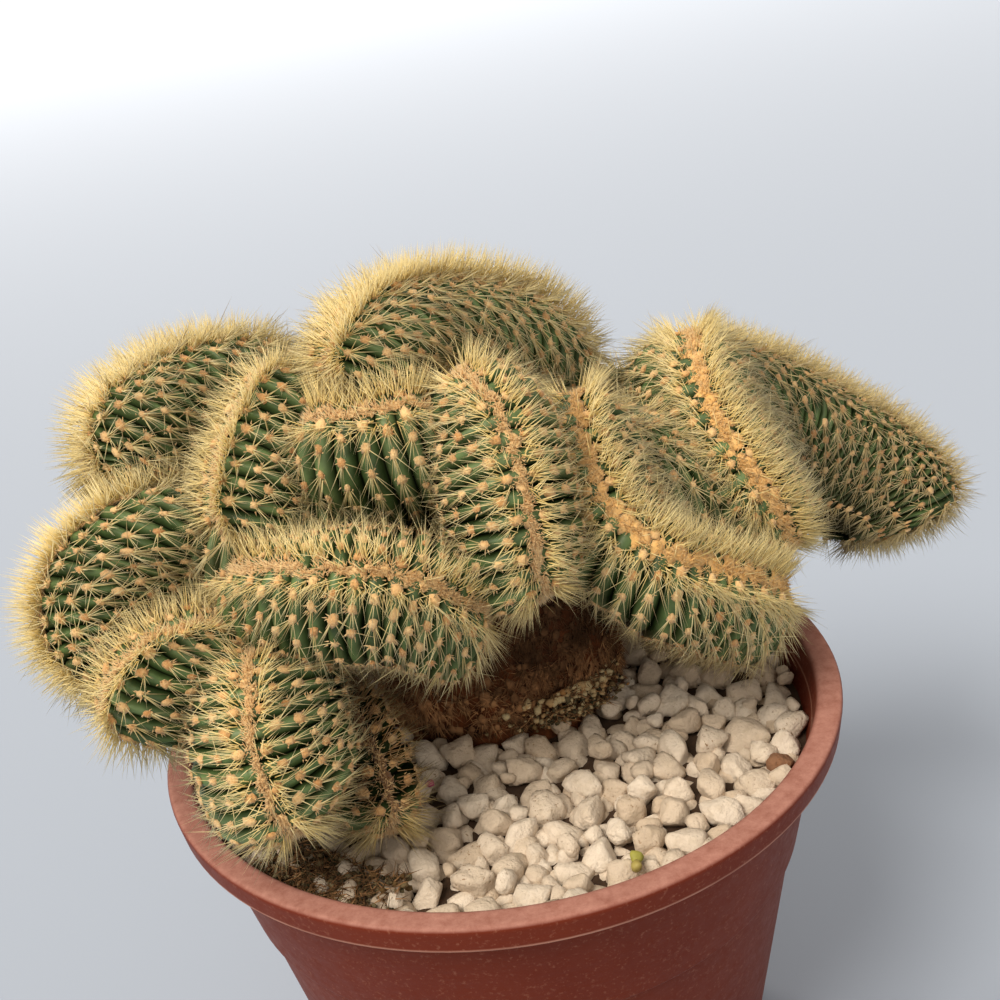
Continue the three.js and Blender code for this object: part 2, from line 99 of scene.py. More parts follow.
# The crest's folds: half thickness, how thick the bristles stand along the growing edge and on the flanks as
# shares of the thickest, points of the growing edge, and points of the foot inside the plant
Fold = namedtuple("Fold", "half fur crest root")
END_ROUND = 15
EDGE_REACH = 1.15
EDGE_SHARE = 0.42
FOOT_SHARE = 0.5
FOLDS = {
    "left_back": Fold(
        13, (1, 0.8),
        [(-80, -4, 186), (-86, 3, 198), (-83, 9, 209), (-73, 18, 214), (-61, 26, 215), (-49, 35, 211),
         (-38, 42, 202)],
        [(-54, 6, 176), (-36, 26, 174)],
    ),
    "left_middle": Fold(
        13, (0.9, 0.6),
        [(-56, 2, 184), (-66, -2, 190), (-80, -9, 191), (-92, -16, 185), (-97, -23, 175), (-95, -29, 165),
         (-86, -34, 157), (-76, -36, 152)],
        [(-50, -8, 168), (-52, -18, 156)],
    ),
    "left_small": Fold(
        10, (0.35, 0.2),
        [(-50, -28, 168), (-62, -37, 173), (-71, -43, 173), (-79, -47, 167), (-82, -47, 157),
         (-79, -42, 147)],
        [(-46, -18, 152), (-58, -28, 146)],
    ),
    "left_front": Fold(
        17, (0.15, 0.15),
        [(-49, -30, 165), (-50, -46, 166), (-50, -58, 160), (-49, -66, 151), (-46, -69, 141),
         (-41, -66, 128)],
        [(-50, -18, 149), (-48, -34, 135)],
    ),
    "front_small": Fold(
        9, (0.4, 0.4),
        [(-38, -24, 149), (-32, -38, 144), (-27, -48, 136), (-26, -53, 126), (-28, -52, 114)],
        [(-38, -20, 136), (-36, -32, 120)],
    ),
    "front_middle": Fold(
        14, (0.15, 0.15),
        [(-58, -16, 174), (-50, -31, 181), (-37, -43, 185), (-24, -48, 185), (-13, -48, 181), (-5, -45, 174),
         (1, -39, 166), (5, -31, 159)],
        [(-44, -18, 150), (-8, -16, 152)],
    ),
    "left_centre": Fold(
        12.5, (0.55, 0.45),
        [(-32, 8, 212), (-40, -2, 215), (-47, -10, 209), (-52, -17, 201), (-55, -23, 191), (-55, -26, 180)],
        [(-28, 6, 186), (-36, -8, 168)],
    ),
    "top": Fold(
        14, (1, 0.65),
        [(32, 50, 180), (31, 45, 196), (23, 35, 211), (8, 23, 222), (-7, 11, 227), (-18, -1, 226),
         (-25, -11, 219), (-27, -13, 207)],
        [(16, 24, 174), (-10, 8, 184)],
    ),
    "centre_bend": Fold(
        12.5, (0.3, 0.25),
        [(-38, -6, 204), (-31, -16, 208), (-20, -21, 208), (-8, -21, 209), (5, -16, 207)],
        [(-24, 4, 162), (0, 6, 164)],
    ),
    "centre_front": Fold(
        14.5, (0.15, 0.15),
        [(-2, -2, 208), (4, -17, 212), (10, -29, 208), (12, -37, 198), (13, -42, 188), (13, -43, 178),
         (14, -40, 168), (15, -33, 160)],
        [(2, 10, 182), (4, -8, 162)],
    ),
    "right_centre": Fold(
        13, (0.45, 0.35),
        [(28, 4, 203), (27, -12, 199), (28, -23, 189), (33, -31, 178), (42, -34, 170), (52, -30, 163),
         (62, -25, 156), (71, -15, 146), (70, -2, 138)],
        [(26, 6, 176), (38, -8, 144), (52, -2, 130)],
    ),
    "right": Fold(
        16.5, (0.5, 0.4),
        [(61, 58, 178), (62, 46, 190), (61, 33, 196), (60, 21, 193), (60, 11, 187), (63, 3, 180),
         (67, -2, 172), (72, -4, 163), (76, -2, 152), (78, 5, 140)],
        [(56, 46, 152), (60, 30, 152), (66, 20, 144)],
    ),
    "far_right": Fold(
        14, (0.9, 0.75),
        [(56, 44, 180), (68, 50, 188), (86, 57, 179), (102, 61, 167), (120, 63, 152), (132, 62, 139),
         (136, 58, 128), (128, 52, 120)],
        [(62, 38, 146), (104, 46, 124)],
    ),
    "back_top": Fold(
        14, (0.8, 0.65),
        [(-56, 46, 176), (-44, 54, 190), (-24, 62, 200), (0, 65, 201), (18, 62, 193), (32, 58, 180),
         (38, 52, 166)],
        [(-30, 32, 168), (18, 34, 164)],
    ),
    "back_left": Fold(
        13, (0.8, 0.65),
        [(-80, -8, 168), (-90, 6, 160), (-90, 24, 153), (-80, 42, 152), (-65, 56, 157), (-50, 67, 159),
         (-38, 74, 150), (-33, 72, 138)],
        [(-60, 0, 156), (-54, 24, 148), (-36, 40, 144)],
    ),
    "back_right": Fold(
        13.5, (0.8, 0.65),
        [(-12, 64, 184), (-11, 75, 171), (-3, 81, 157), (12, 84, 148), (28, 83, 151), (42, 80, 161),
         (56, 78, 168), (70, 77, 165), (80, 74, 154), (84, 66, 140)],
        [(-6, 40, 168), (12, 42, 150), (46, 42, 160), (68, 44, 146)],
    ),
}

# The rounded flesh that the folds grow from: centre and half sizes
FLESH = [
    ((-4, 10, 174), (38, 28, 30)),
    ((-42, -2, 171), (31, 27, 25)),
    ((-48, -16, 158), (20, 20, 22)),
    ((42, 16, 156), (30, 27, 28)),
    ((68, 42, 154), (20, 18, 26)),
    ((46, 42, 150), (18, 18, 18)),
    ((-2, 42, 164), (48, 26, 32)),
]
FLESH_FUR = (0.6, 0.6)

# Ribs of the skin, and how far down them the woolly areoles sit, on every other rib in turn
RIB_WIDTH = 4.25
FINE_RIB_WIDTH = 3.4
FINE_RIBBED = ("left_back", "top", "far_right")
RIB_DEPTH = 2.2
RINGS_PER_RIB = 6
AREOLE_SWELL = 0.7
AREOLE_REACH = 1.7
AREOLE_ROOM = 2.1  # where ribs run closer together than this, only some of them have areoles
AREOLE_ROWS = (
    (2.9, 7.6, 13, 19.2, 26, 33.5, 41.5),
    (5.2, 10.2, 16, 22.5, 29.5, 37, 45),
)
EDGE_COLUMNS = 6
FLANK_COLUMNS = 11

# How deep inside the plant skin, areoles and bristles are left out
SKIN_HIDDEN = 2.2
AREOLE_HIDDEN = 0.9

# A fold in the shade of others gets painted shade, browner areoles and darker skin, most of all above this
# height, where it is also nearly bare
SHADED_ABOVE = {"front_small": 128}

# How much painted shade, browner areoles and darker skin, the flanks get that lie in the shade of the crest
# itself
PAINTED_SHADE = {"far_right": 0.6, "left_small": 0.2, "top": 0.2}

# The hollow beside the centre fold, where the growing edge's wool is deepest orange, and browner there as
# painted shade
HOLLOW = (28, -12, 196)
HOLLOW_REACH = 15

# Felt: half sizes of a pad and of a mound in the growing edge's seam, downhill, along and outwards
PAD_SIZE = np.array([1.45, 1.1, 0.65])
PAD_RISE = 0.85
SEAM_SIZE = np.array([1.2, 1.3, 0.3])
SEAM_SPACING = 0.68

# How many hairs or bristles stand in each tuft, and their radius
PAD_HAIRS = 12
PAD_HAIR = 0.22
FLANK_BRISTLES = 18
SEAM_HAIRS = 12
SEAM_HAIR = 0.17
EDGE_BRISTLES = 20
EDGE_BRISTLE = 0.15
FURRED = 0.6  # a growing edge with more fur than this has upright bristles
STEM_TUFTS = 1300
STEM_TUFT_SIZE = np.array([1.3, 1.0, 0.22])
STEM_HAIRS = 10
STEM_HAIR = 0.15
BEHIND = 22  # further back than this a bristle belongs to the piece behind

# Crumbs by the stem's right foot and by the rim under the left fold
HEAP_CRUMBS = 420
HEAP_RISE = 8
RIM_CRUMBS = 800

# How far the bristles may reach beyond the construction's box
OVERHANG = np.array([6.8, 4.9, 6.6])

# The plant rests no lower than this over the grit, and over the pot's rim
OVER_GRIT = 114.9
OVER_RIM = 120.8

BRISTLE_FACES = np.array([(0, 1, 3), (1, 2, 3), (2, 0, 3)])

random = np.random.default_rng(11)


def unit(vectors):
    """The vectors at length 1."""
    return vectors / np.maximum(np.linalg.norm(vectors, axis=-1, keepdims=True), 1e-9)


def curve_points(points, share):
    """Points of a smooth curve through the given ones, at shares of the way from the first to the last."""
    points = np.array(points, float)
    padded = np.vstack([2 * points[0] - points[1], points, 2 * points[-1] - points[-2]])
    place = np.clip(share, 0, 1) * (len(points) - 1)
    part = np.minimum(place.astype(int), len(points) - 2)
    t = (place - part)[:, None]
    before, start, end, after = (padded[part + k] for k in range(4))
    leave, arrive = (end - before) / 2, (after - start) / 2
    square = 3 * (end - start) - 2 * leave - arrive
    cube = 2 * (start - end) + leave + arrive
    return start + leave * t + square * t**2 + cube * t**3


def travelled(points):
    """The way travelled along a row of points, at each of them."""
    return np.concatenate([[0], np.cumsum(np.linalg.norm(np.diff(points, axis=0), axis=1))])


def fold_frames(fold, share):
    """The fold's foot point, ways out and across, depth and half thickness at shares of its growing edge."""
    fine = np.linspace(0, 1, 1500)
    length = travelled(curve_points(fold.crest, fine))
    step = 1e-3
    at = np.interp(share * length[-1], length, fine)
    crest = curve_points(fold.crest, at)
    along = unit(curve_points(fold.crest, at + step) - curve_points(fold.crest, at - step))
    root = curve_points(fold.root, share)
    from_end = np.minimum(share, 1 - share) * length[-1]
    rise = np.sqrt(np.maximum(0.004, 1 - np.maximum(0, 1 - from_end / END_ROUND) ** 2))[:, None]
    depth = np.linalg.norm(crest - root, axis=1, keepdims=True) * rise
    out = unit(crest - root)
    return root, out, unit(np.cross(along, out)), depth, fold.half * rise


def fold_grid(fold, rib_width):
    """The fold's smooth skin as a grid: a row of points across it for each ring, from foot over edge to foot,
    and the column that holds its growing edge."""
    share = np.linspace(0, 1, 800)
    root, out, _, depth, _ = fold_frames(fold, share)
    length = travelled(root + out * depth)
    ribs = round(length[-1] / rib_width)
    rings = np.interp(np.linspace(0, length[-1], ribs * RINGS_PER_RIB + 1), length, share)
    root, out, across, depth, half = (part[:, None] for part in fold_frames(fold, rings))
    down = np.concatenate([
        np.linspace(0, EDGE_SHARE, EDGE_COLUMNS, endpoint=False),
        np.linspace(EDGE_SHARE, 1, FLANK_COLUMNS),
    ])
    down = np.concatenate([-down[:0:-1], down])[None, :, None]
    side, down = np.sign(down), np.abs(down)
    edge = np.minimum(EDGE_REACH * half, 0.6 * depth)
    angle = np.minimum(down / EDGE_SHARE, 1) * math.pi / 2
    flank = np.maximum(0, (down - EDGE_SHARE) / (1 - EDGE_SHARE))
    height = depth - edge * (1 - np.cos(angle)) - (depth - edge) * flank
    width = side * half * np.sin(angle) * (1 - (1 - FOOT_SHARE) * flank)
    return root + out * height + across * width, EDGE_COLUMNS + FLANK_COLUMNS - 1


def lump_grid(centre, size):
    """A rounded lump of flesh as a grid with its ribs from pole to pole. Its columns start at the top."""
    ribs = round(math.pi * (size[0] + size[1]) / RIB_WIDTH / 2) * 2
    turn = np.linspace(0, 2 * math.pi, ribs * RINGS_PER_RIB + 1)[:, None]
    polar = np.linspace(0.04, math.pi * 0.8, 32)[None, :]
    ways = [np.sin(polar) * np.cos(turn), np.sin(polar) * np.sin(turn), np.cos(polar) * np.ones_like(turn)]
    return np.stack(ways, axis=-1) * np.array(size) + np.array(centre), 0


class Skin:
    """A grid of smooth skin with its ways outwards, downhill and along, and how far each point is from the
    growing edge."""

    def __init__(self, grid, edge_column, fur=FLESH_FUR, shaded_above=None, browned=0):
        self.grid = grid
        self.edge = edge_column
        self.edge_fur, self.flank_fur = fur
        self.shaded_above = shaded_above
        self.browned = browned
        along, across = np.gradient(grid, axis=0), np.gradient(grid, axis=1)
        self.along, self.downhill = unit(along), unit(across)
        self.downhill[:, :edge_column] *= -1
        steps = np.linalg.norm(np.diff(grid, axis=1), axis=2)
        right = np.cumsum(steps[:, edge_column:], axis=1)
        left = np.cumsum(steps[:, :edge_column][:, ::-1], axis=1)[:, ::-1]
        self.distance = np.concatenate([left, np.zeros((len(grid), 1)), right], axis=1)
        normal = np.cross(along, across)
        middle = grid.mean(axis=1, keepdims=True)
        turned = np.sign(np.sum(normal * (grid - middle), axis=(1, 2)))
        self.normal = unit(normal * np.where(turned == 0, 1, turned)[:, None, None])

    def relief(self):
        """How far ribs and areoles raise each point of the skin, and where it lies on its rib."""
        phase = np.arange(len(self.grid)) / RINGS_PER_RIB
        ridge = (np.abs(np.sin(math.pi * phase)) ** 0.7)[:, None]
        odd = (np.floor(phase).astype(int) % 2)[:, None]
        even_swell, odd_swell = (
            sum(np.exp(-(((self.distance - row) / AREOLE_REACH) ** 2)) for row in rows)
            for rows in AREOLE_ROWS
        )
        swell = np.where(odd == 1, odd_swell, even_swell)
        fade = np.clip(self.distance / 5, 0.15, 1)
        return RIB_DEPTH * (ridge - 0.75) * fade + AREOLE_SWELL * swell * ridge, ridge

    def shade(self, height):
        """How much painted shade the fold has at a height, and so how bare it is, from 0 to 1."""
        if self.shaded_above is None:
            return 0 * height
        return 0.4 + 0.6 * np.clip((height - self.shaded_above) / 6 + 0.5, 0, 1)

    def areoles(self):
        """Place, outward, downhill and along ways of each areole, its distance from the edge, how thick its
        bristles stand and how much painted shade it has."""
        found = []
        columns = np.arange(self.grid.shape[1])
        half = RINGS_PER_RIB // 2
        for rib in range((len(self.grid) - 1) // RINGS_PER_RIB):
            ring = rib * RINGS_PER_RIB + half
            for side in (1, -1) if self.edge else (1,):
                run = columns[self.edge:] if side == 1 else columns[:self.edge + 1][::-1]
                distance = self.distance[ring, run]
                for row in AREOLE_ROWS[rib % 2]:
                    if row > distance[-1]:
                        break
                    column = float(np.interp(row, distance, run))
                    near = int(round(column))
                    room = np.linalg.norm(self.grid[ring + half, near] - self.grid[max(ring - half, 0), near])
                    if rib % max(1, math.ceil(AREOLE_ROOM / max(room, 0.3))):
                        continue
                    low = min(int(column), len(columns) - 2)
                    part = column - low
                    place, normal, downhill, along = (
                        grid[ring, low] * (1 - part) + grid[ring, low + 1] * part
                        for grid in (self.grid, self.normal, self.downhill, self.along)
                    )
                    # Painted shade of the fold here, which browns the areole and thins its bristles
                    shade = max(self.shade(place[2]), self.browned)
                    fur = self.flank_fur * (1 - 0.7 * shade)
                    found.append((place, unit(normal), unit(downhill), unit(along), row, fur, shade))
        return found


def plant_tree():
    """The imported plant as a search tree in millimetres, to tell what lies inside it."""
    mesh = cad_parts["cactus"].data
    points = [tuple(v.co / MM) for v in mesh.vertices]
    mesh.calc_loop_triangles()
    return BVHTree.FromPolygons(points, [tuple(t.vertices) for t in mesh.loop_triangles])


PLANT = plant_tree()


def depth_inside(points):
    """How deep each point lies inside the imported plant, negative outside it."""
    depths = np.empty(len(points))
    for i, point in enumerate(points):
        near, normal, _, distance = PLANT.find_nearest(Vector(point))
        inside = (Vector(point) - near).dot(normal) < 0
        depths[i] = distance if inside else -distance
    return depths


def linear(hex_colour):
    """An sRGB hex colour as linear red, green, blue and alpha."""
    parts = [int(hex_colour[i:i + 2], 16) / 255 for i in (1, 3, 5)]
    return (*(c / 12.92 if c <= 0.04045 else ((c + 0.055) / 1.055) ** 2.4 for c in parts), 1)


def add(tree, kind, inputs=None, **settings):
    """Adds a shader node with its own settings. Each input is set to a value or an sRGB hex colour, or linked
    to a socket or to another node's first output in use."""
    node = tree.nodes.new("ShaderNode" + kind)
    for name, value in settings.items():
        setattr(node, name, value)
    for name, value in (inputs or {}).items():
        if isinstance(value, bpy.types.Node):
            value = next(output for output in value.outputs if output.enabled)
        if isinstance(value, bpy.types.NodeSocket):
            tree.links.new(value, node.inputs[name])
        else:
            node.inputs[name].default_value = linear(value) if isinstance(value, str) else value
    return node


def make_material(finish):
    """The material of a finish, named after it. The finish is given the node tree, the place on the object
    and the three parts of the mesh's tone, and gives back its shader."""
    material = bpy.data.materials.new(finish.__name__)
    material.use_nodes = True
    tree = material.node_tree
    tree.nodes.clear()
    place = add(tree, "TexCoord").outputs["Object"]
    tone = add(tree, "Attribute", attribute_name="tone").outputs["Color"]
    add(tree, "OutputMaterial", {0: finish(tree, place, add(tree, "SeparateColor", {0: tone}).outputs)})


# Input sockets of the colour Mix node
FACTOR, FIRST, SECOND = 0, 6, 7


def living_skin(tree, place, tone):
    """The cactus's skin: olive green with a waxy bloom on the ribs, near black with painted shade in the
    furrows between them and on shaded folds, and corky brown where it is old. The wax gives soft broad
    lights."""
    painted_skin_shade, age, chance = tone
    cells = add(tree, "TexNoise", {"Vector": place, "Scale": 1 / (7 * MM), "Detail": 4})
    patches = add(tree, "MapRange", {0: cells, 1: 0.3, 2: 0.7})
    wax = add(tree, "MapRange", {0: chance, 1: 0.5, 2: 1.0, 3: 0.0, 4: 0.35})
    skin = "#2c3e21"
    for share, colour in ((patches, "#607b49"), (wax, "#84996a"), (painted_skin_shade, "#050501"), (age, "#2e2116")):
        skin = add(tree, "Mix", {FACTOR: share, FIRST: skin, SECOND: colour}, data_type="RGBA")
    pores = add(tree, "TexNoise", {"Vector": place, "Scale": 1 / (0.7 * MM), "Detail": 3})
    bump = add(tree, "Bump", {"Height": pores, "Strength": 0.25, "Distance": 0.2 * MM})
    gloss = add(tree, "MapRange", {0: painted_skin_shade, 1: 0.1, 2: 0.6, 3: 0.45, 4: 0.0})
    return add(tree, "BsdfPrincipled", {
        "Base Color": skin, "Roughness": 0.5, "IOR": 1.45, "Specular IOR Level": gloss, "Normal": bump,
    })


def areole_felt(tree, place, tone):
    """Felt of short hairs on the areoles: pale orange-tan and quite matt, more orange where it is young and
    deep."""
    gold, age, chance = tone
    hairs = add(tree, "TexNoise", {"Vector": place, "Scale": 1 / (0.6 * MM), "Detail": 3, "Roughness": 0.7})
    lights = add(tree, "Math", {0: hairs, 1: chance}, operation="ADD")
    lit = add(tree, "MapRange", {0: lights, 1: 0.5, 2: 1.3})
    felt = "#b47c46"
    # The age colour browns old felt, and also paints shade on shaded folds and in the hollow.
    for share, colour in ((lit, "#efd39f"), (gold, "#e6b86e"), (age, "#6b4a2c")):
        felt = add(tree, "Mix", {FACTOR: share, FIRST: felt, SECOND: colour}, data_type="RGBA")
    bump = add(tree, "Bump", {"Height": hairs, "Strength": 0.9, "Distance": 0.35 * MM})
    return add(tree, "BsdfPrincipled", {
        "Base Color": felt, "Roughness": 0.95, "Sheen Weight": 0.2, "Normal": bump,
    })


def dry_bristle(tree, place, tone):
    """Dry horny bristles: golden where they are young, straw further down, ochre at the base and pale at the
    tip. The horn lets some light through, so that they glow against it."""
    gold, age, tip = tone
    horn, end = (
        add(tree, "Mix", {FACTOR: gold, FIRST: straw, SECOND: golden}, data_type="RGBA")
        for straw, golden in (("#cfbd7a", "#ecce7a"), ("#f1ebc8", "#fbeeba"))
    )
    # The age colour browns old bristles, and also paints shade on shaded folds.
    for share, colour in ((tip, end), (age, "#7a5a34")):
        horn = add(tree, "Mix", {FACTOR: share, FIRST: horn, SECOND: colour}, data_type="RGBA")
    shader = add(tree, "BsdfPrincipled", {"Base Color": horn, "Roughness": 0.45, "IOR": 1.54})
    return add(tree, "MixShader", {0: 0.15, 1: shader, 2: add(tree, "BsdfTranslucent", {"Color": horn})})


def corky_bark(tree, place, tone):
    """The old stem: rough red-brown cork with crumbling lighter plates, darker where it lies in the shade of
    the crest."""
    plates = add(tree, "TexNoise", {"Vector": place, "Scale": 1 / (5 * MM), "Detail": 6, "Roughness": 0.7})
    lighter = add(tree, "MapRange", {0: plates, 1: 0.35, 2: 0.65})
    height = add(tree, "SeparateXYZ", {0: place}).outputs[2]
    shaded = add(tree, "MapRange", {0: height, 1: 120 * MM, 2: 133 * MM, 3: 0.0, 4: 0.45})
    cork = "#2c170d"
    for share, colour in ((lighter, "#7a4526"), (shaded, "#140b07")):
        cork = add(tree, "Mix", {FACTOR: share, FIRST: cork, SECOND: colour}, data_type="RGBA")
    bump = add(tree, "Bump", {"Height": plates, "Strength": 0.9, "Distance": 1.2 * MM})
    return add(tree, "BsdfPrincipled", {
        "Base Color": cork, "Roughness": 0.95, "Specular IOR Level": 0.2, "Normal": bump,
    })


def dead_wool(tree, place, tone):
    """Old wool and dead bristles that hang on the stem: matted, red-brown and without gloss."""
    wool = "#46301f"
    for share, colour in ((tone[0], "#d6a274"), (tone[1], "#c9a070")):
        wool = add(tree, "Mix", {FACTOR: share, FIRST: wool, SECOND: colour}, data_type="RGBA")
    return add(tree, "BsdfPrincipled", {"Base Color": wool, "Roughness": 0.95, "Specular IOR Level": 0.2})


def dead_pad(tree, place, tone):
    """Crumbs of dead areoles and lichen: bone white, tan and greenish black, dry and matt."""
    crumb = "#cdbd96"
    for share, colour in ((tone[1], "#b08352"), (tone[0], "#2b2c1c")):
        crumb = add(tree, "Mix", {FACTOR: share, FIRST: crumb, SECOND: colour}, data_type="RGBA")
    grain = add(tree, "TexNoise", {"Vector": place, "Scale": 1 / (0.5 * MM), "Detail": 4})
    bump = add(tree, "Bump", {"Height": grain, "Strength": 0.9, "Distance": 0.3 * MM})
    return add(tree, "BsdfPrincipled", {
        "Base Color": crumb, "Roughness": 0.95, "Specular IOR Level": 0.2, "Normal": bump,
    })


def pumice_stone(tree, place, tone):
    """Pale buff pumice: dull volcanic glass foam that takes no gloss, each grain a little different, some of
    them with open pores and cracks."""
    grain_tone, bark, foamy = tone
    cloud = add(tree, "TexNoise", {"Vector": place, "Scale": 1 / (2.5 * MM), "Detail": 6, "Roughness": 0.65})
    stained = add(tree, "MapRange", {0: cloud, 1: 0.45, 2: 0.75, 3: 0.0, 4: 0.45})
    foam = add(tree, "TexNoise", {"Vector": place, "Scale": 1 / (1.0 * MM), "Detail": 4, "Roughness": 0.6})
    open_pores = add(tree, "MapRange", {0: foam, 1: 0.4, 2: 0.32})
    many = add(tree, "MapRange", {0: foamy, 1: 0.6, 2: 1.0})
    pitted = add(tree, "Math", {0: open_pores, 1: many}, operation="MULTIPLY")
    stone = "#c9b7a3"
    coats = ((grain_tone, "#e4d8ca"), (stained, "#aa987e"), (pitted, "#8a6c4c"), (bark, "#7a4a26"))
    for share, colour in coats:
        stone = add(tree, "Mix", {FACTOR: share, FIRST: stone, SECOND: colour}, data_type="RGBA")
    dents = add(tree, "Bump", {"Height": cloud, "Strength": 1.0, "Distance": 0.8 * MM})
    bump = add(tree, "Bump", {"Height": foam, "Strength": 1.0, "Distance": 0.45 * MM, "Normal": dents})
    return add(tree, "BsdfPrincipled", {
        "Base Color": stone, "Roughness": 0.95, "Specular IOR Level": 0.25, "Normal": bump,
    })


def dry_leaf(tree, place, tone):
    """Scraps of a weed seedling and of a petal: yellow-green and pink, soft and a little waxy."""
    veins = add(tree, "TexNoise", {"Vector": place, "Scale": 1 / (1.5 * MM), "Detail": 3})
    leaf = "#7c7a2c"
    for share, colour in ((veins, "#b4b25a"), (tone[0], "#b8587a")):
        leaf = add(tree, "Mix", {FACTOR: share, FIRST: leaf, SECOND: colour}, data_type="RGBA")
    return add(tree, "BsdfPrincipled", {"Base Color": leaf, "Roughness": 0.6, "IOR": 1.45})


def potting_mix(tree, place, tone):
    """Dark crumbly peat and bark fines: nearly black, and matt."""
    crumbs = add(tree, "TexNoise", {"Vector": place, "Scale": 1 / (2 * MM), "Detail": 6, "Roughness": 0.8})
    earth = add(tree, "Mix", {FACTOR: crumbs, FIRST: "#1c120c", SECOND: "#5d4430"}, data_type="RGBA")
    bump = add(tree, "Bump", {"Height": crumbs, "Strength": 1.0, "Distance": 1.0 * MM})
    return add(tree, "BsdfPrincipled", {"Base Color": earth, "Roughness": 1.0, "Normal": bump})


def moulded_polypropylene(tree, place, tone):
    """Terracotta-coloured polypropylene, injection moulded: satin, with faint flow marks round it, fine
    scuffs, pale dust on what faces up that is also painted light from above, and a lighter line along the
    rim's lower edge: a painted highlight of that rounded edge, with a little wear."""
    height = add(tree, "SeparateXYZ", {0: place}).outputs[2]
    cloud = add(tree, "TexNoise", {"Vector": place, "Scale": 1 / (22 * MM), "Detail": 3})
    specks = add(tree, "TexNoise", {"Vector": place, "Scale": 1 / (1.1 * MM), "Detail": 4, "Roughness": 0.7})
    speckled = add(tree, "MapRange", {0: specks, 1: 0.56, 2: 0.7, 3: 0.0, 4: 0.35})
    # Pale dust settles on what faces up, and the same lightening paints the light that falls from above.
    facing = add(tree, "SeparateXYZ", {0: add(tree, "NewGeometry").outputs["Normal"]}).outputs[2]
    settled_and_lit = add(tree, "MapRange", {0: facing, 1: 0.2, 2: 1.0, 3: 0.0, 4: 1.0})
    scuffs = add(tree, "TexNoise", {"Vector": place, "Scale": 1 / (4 * MM), "Detail": 8, "Roughness": 0.8})
    thick = add(tree, "MapRange", {0: scuffs, 1: 0.35, 2: 0.65, 3: 0.4, 4: 0.85})
    dust_and_top_light = add(tree, "Math", {0: settled_and_lit, 1: thick}, operation="MULTIPLY")
    # A lighter line along the rounded lower edge of the rim's band: a painted highlight, with a little wear.
    from_edge = add(tree, "Math", {0: height, 1: (POT_HEIGHT - RIM_DEPTH + 0.4) * MM}, operation="SUBTRACT")
    off_edge = add(tree, "Math", {0: from_edge}, operation="ABSOLUTE")
    rubbed_and_highlit = add(tree, "MapRange", {0: off_edge, 1: 0.1 * MM, 2: 0.5 * MM, 3: 0.7, 4: 0.0})
    worn = add(tree, "Math", {0: rubbed_and_highlit, 1: cloud}, operation="MULTIPLY")
    plastic = "#5f2213"
    for share, colour in ((cloud, "#6e2c17"), (speckled, "#a4705c"), (dust_and_top_light, "#b98a7f"), (worn, "#d9a893")):
        plastic = add(tree, "Mix", {FACTOR: share, FIRST: plastic, SECOND: colour}, data_type="RGBA")
    roughness = add(tree, "MapRange", {0: scuffs, 1: 0.3, 2: 0.7, 3: 0.4, 4: 0.62})
    stretched = add(tree, "Mapping", {"Vector": place, "Scale": (1, 1, 12)})
    flow = add(tree, "TexNoise", {"Vector": stretched, "Scale": 1 / (26 * MM), "Detail": 2})
    marks = add(tree, "Bump", {"Height": flow, "Strength": 0.15, "Distance": 0.5 * MM})
    bump = add(tree, "Bump", {"Height": specks, "Strength": 0.12, "Distance": 0.1 * MM, "Normal": marks})
    return add(tree, "BsdfPrincipled", {
        "Base Color": plastic, "Roughness": roughness, "Specular IOR Level": 0.12, "Normal": bump,
    })


def studio_paper(tree, place, tone):
    """Matt blue-grey backdrop paper."""
    return add(tree, "BsdfPrincipled", {"Base Color": "#98a4b8", "Roughness": 0.9})


def new_object(name, data):
    """An object in the scene with the given mesh, light or camera."""
    made = bpy.data.objects.new(name, data)
    bpy.context.scene.collection.objects.link(made)
    return made


def mesh_piece(name, shape, finish):
    """A piece of one finish. Its shape is points in millimetres, faces of one size and, where the finish
    reads it, the tone of each point."""
    points, faces, *tone = shape
    mesh = bpy.data.meshes.new(name)
    mesh.vertices.add(len(points))
    mesh.vertices.foreach_set("co", (np.asarray(points) * MM).astype(np.float32).ravel())
    mesh.loops.add(faces.size)
    mesh.loops.foreach_set("vertex_index", faces.astype(np.int32).ravel())
    mesh.polygons.add(len(faces))
    mesh.polygons.foreach_set("loop_start", np.arange(0, faces.size, faces.shape[1], dtype=np.int32))
    mesh.polygons.foreach_set("use_smooth", np.full(len(faces), True))
    if tone:
        colours = np.concatenate([tone[0], np.ones((len(points), 1))], axis=1)
        attribute = mesh.attributes.new("tone", "FLOAT_COLOR", "POINT")
        attribute.data.foreach_set("color", colours.astype(np.float32).ravel())
    mesh.update(calc_edges=True)
    mesh.materials.append(bpy.data.materials[finish])
    return new_object(name, mesh)


def plant_piece(name, shape, finish):
    """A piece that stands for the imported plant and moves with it."""
    piece = mesh_piece(name, shape, finish)
    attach(piece, "root")
    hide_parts("cactus")


def grit_piece(name, shape, finish, slot="pumice"):
    """A piece of loose stuff in the pot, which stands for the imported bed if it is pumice."""
    piece = mesh_piece(name, shape, finish)
    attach(piece, "root")
    if slot == "pumice":
        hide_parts("pumice")


def numbered(grid):
    """The number of each point of a grid."""
    return np.arange(grid[..., 0].size).reshape(grid.shape[:2])


def quads(number, closed=False):
    """The four corners of each square of a grid, closed where its last row meets the first one again."""
    if closed:
        number = np.vstack([number, number[:1]])
    return np.stack([number[:-1, :-1], number[1:, :-1], number[1:, 1:], number[:-1, 1:]], axis=-1)


def turned(sides, radii, heights):
    """A grid of points turned round the pot's axis, one row for each side."""
    turn = np.linspace(0, 2 * math.pi, sides, endpoint=False)[:, None]
    return np.stack([np.cos(turn) * radii, np.sin(turn) * radii, heights + 0 * turn], axis=-1)


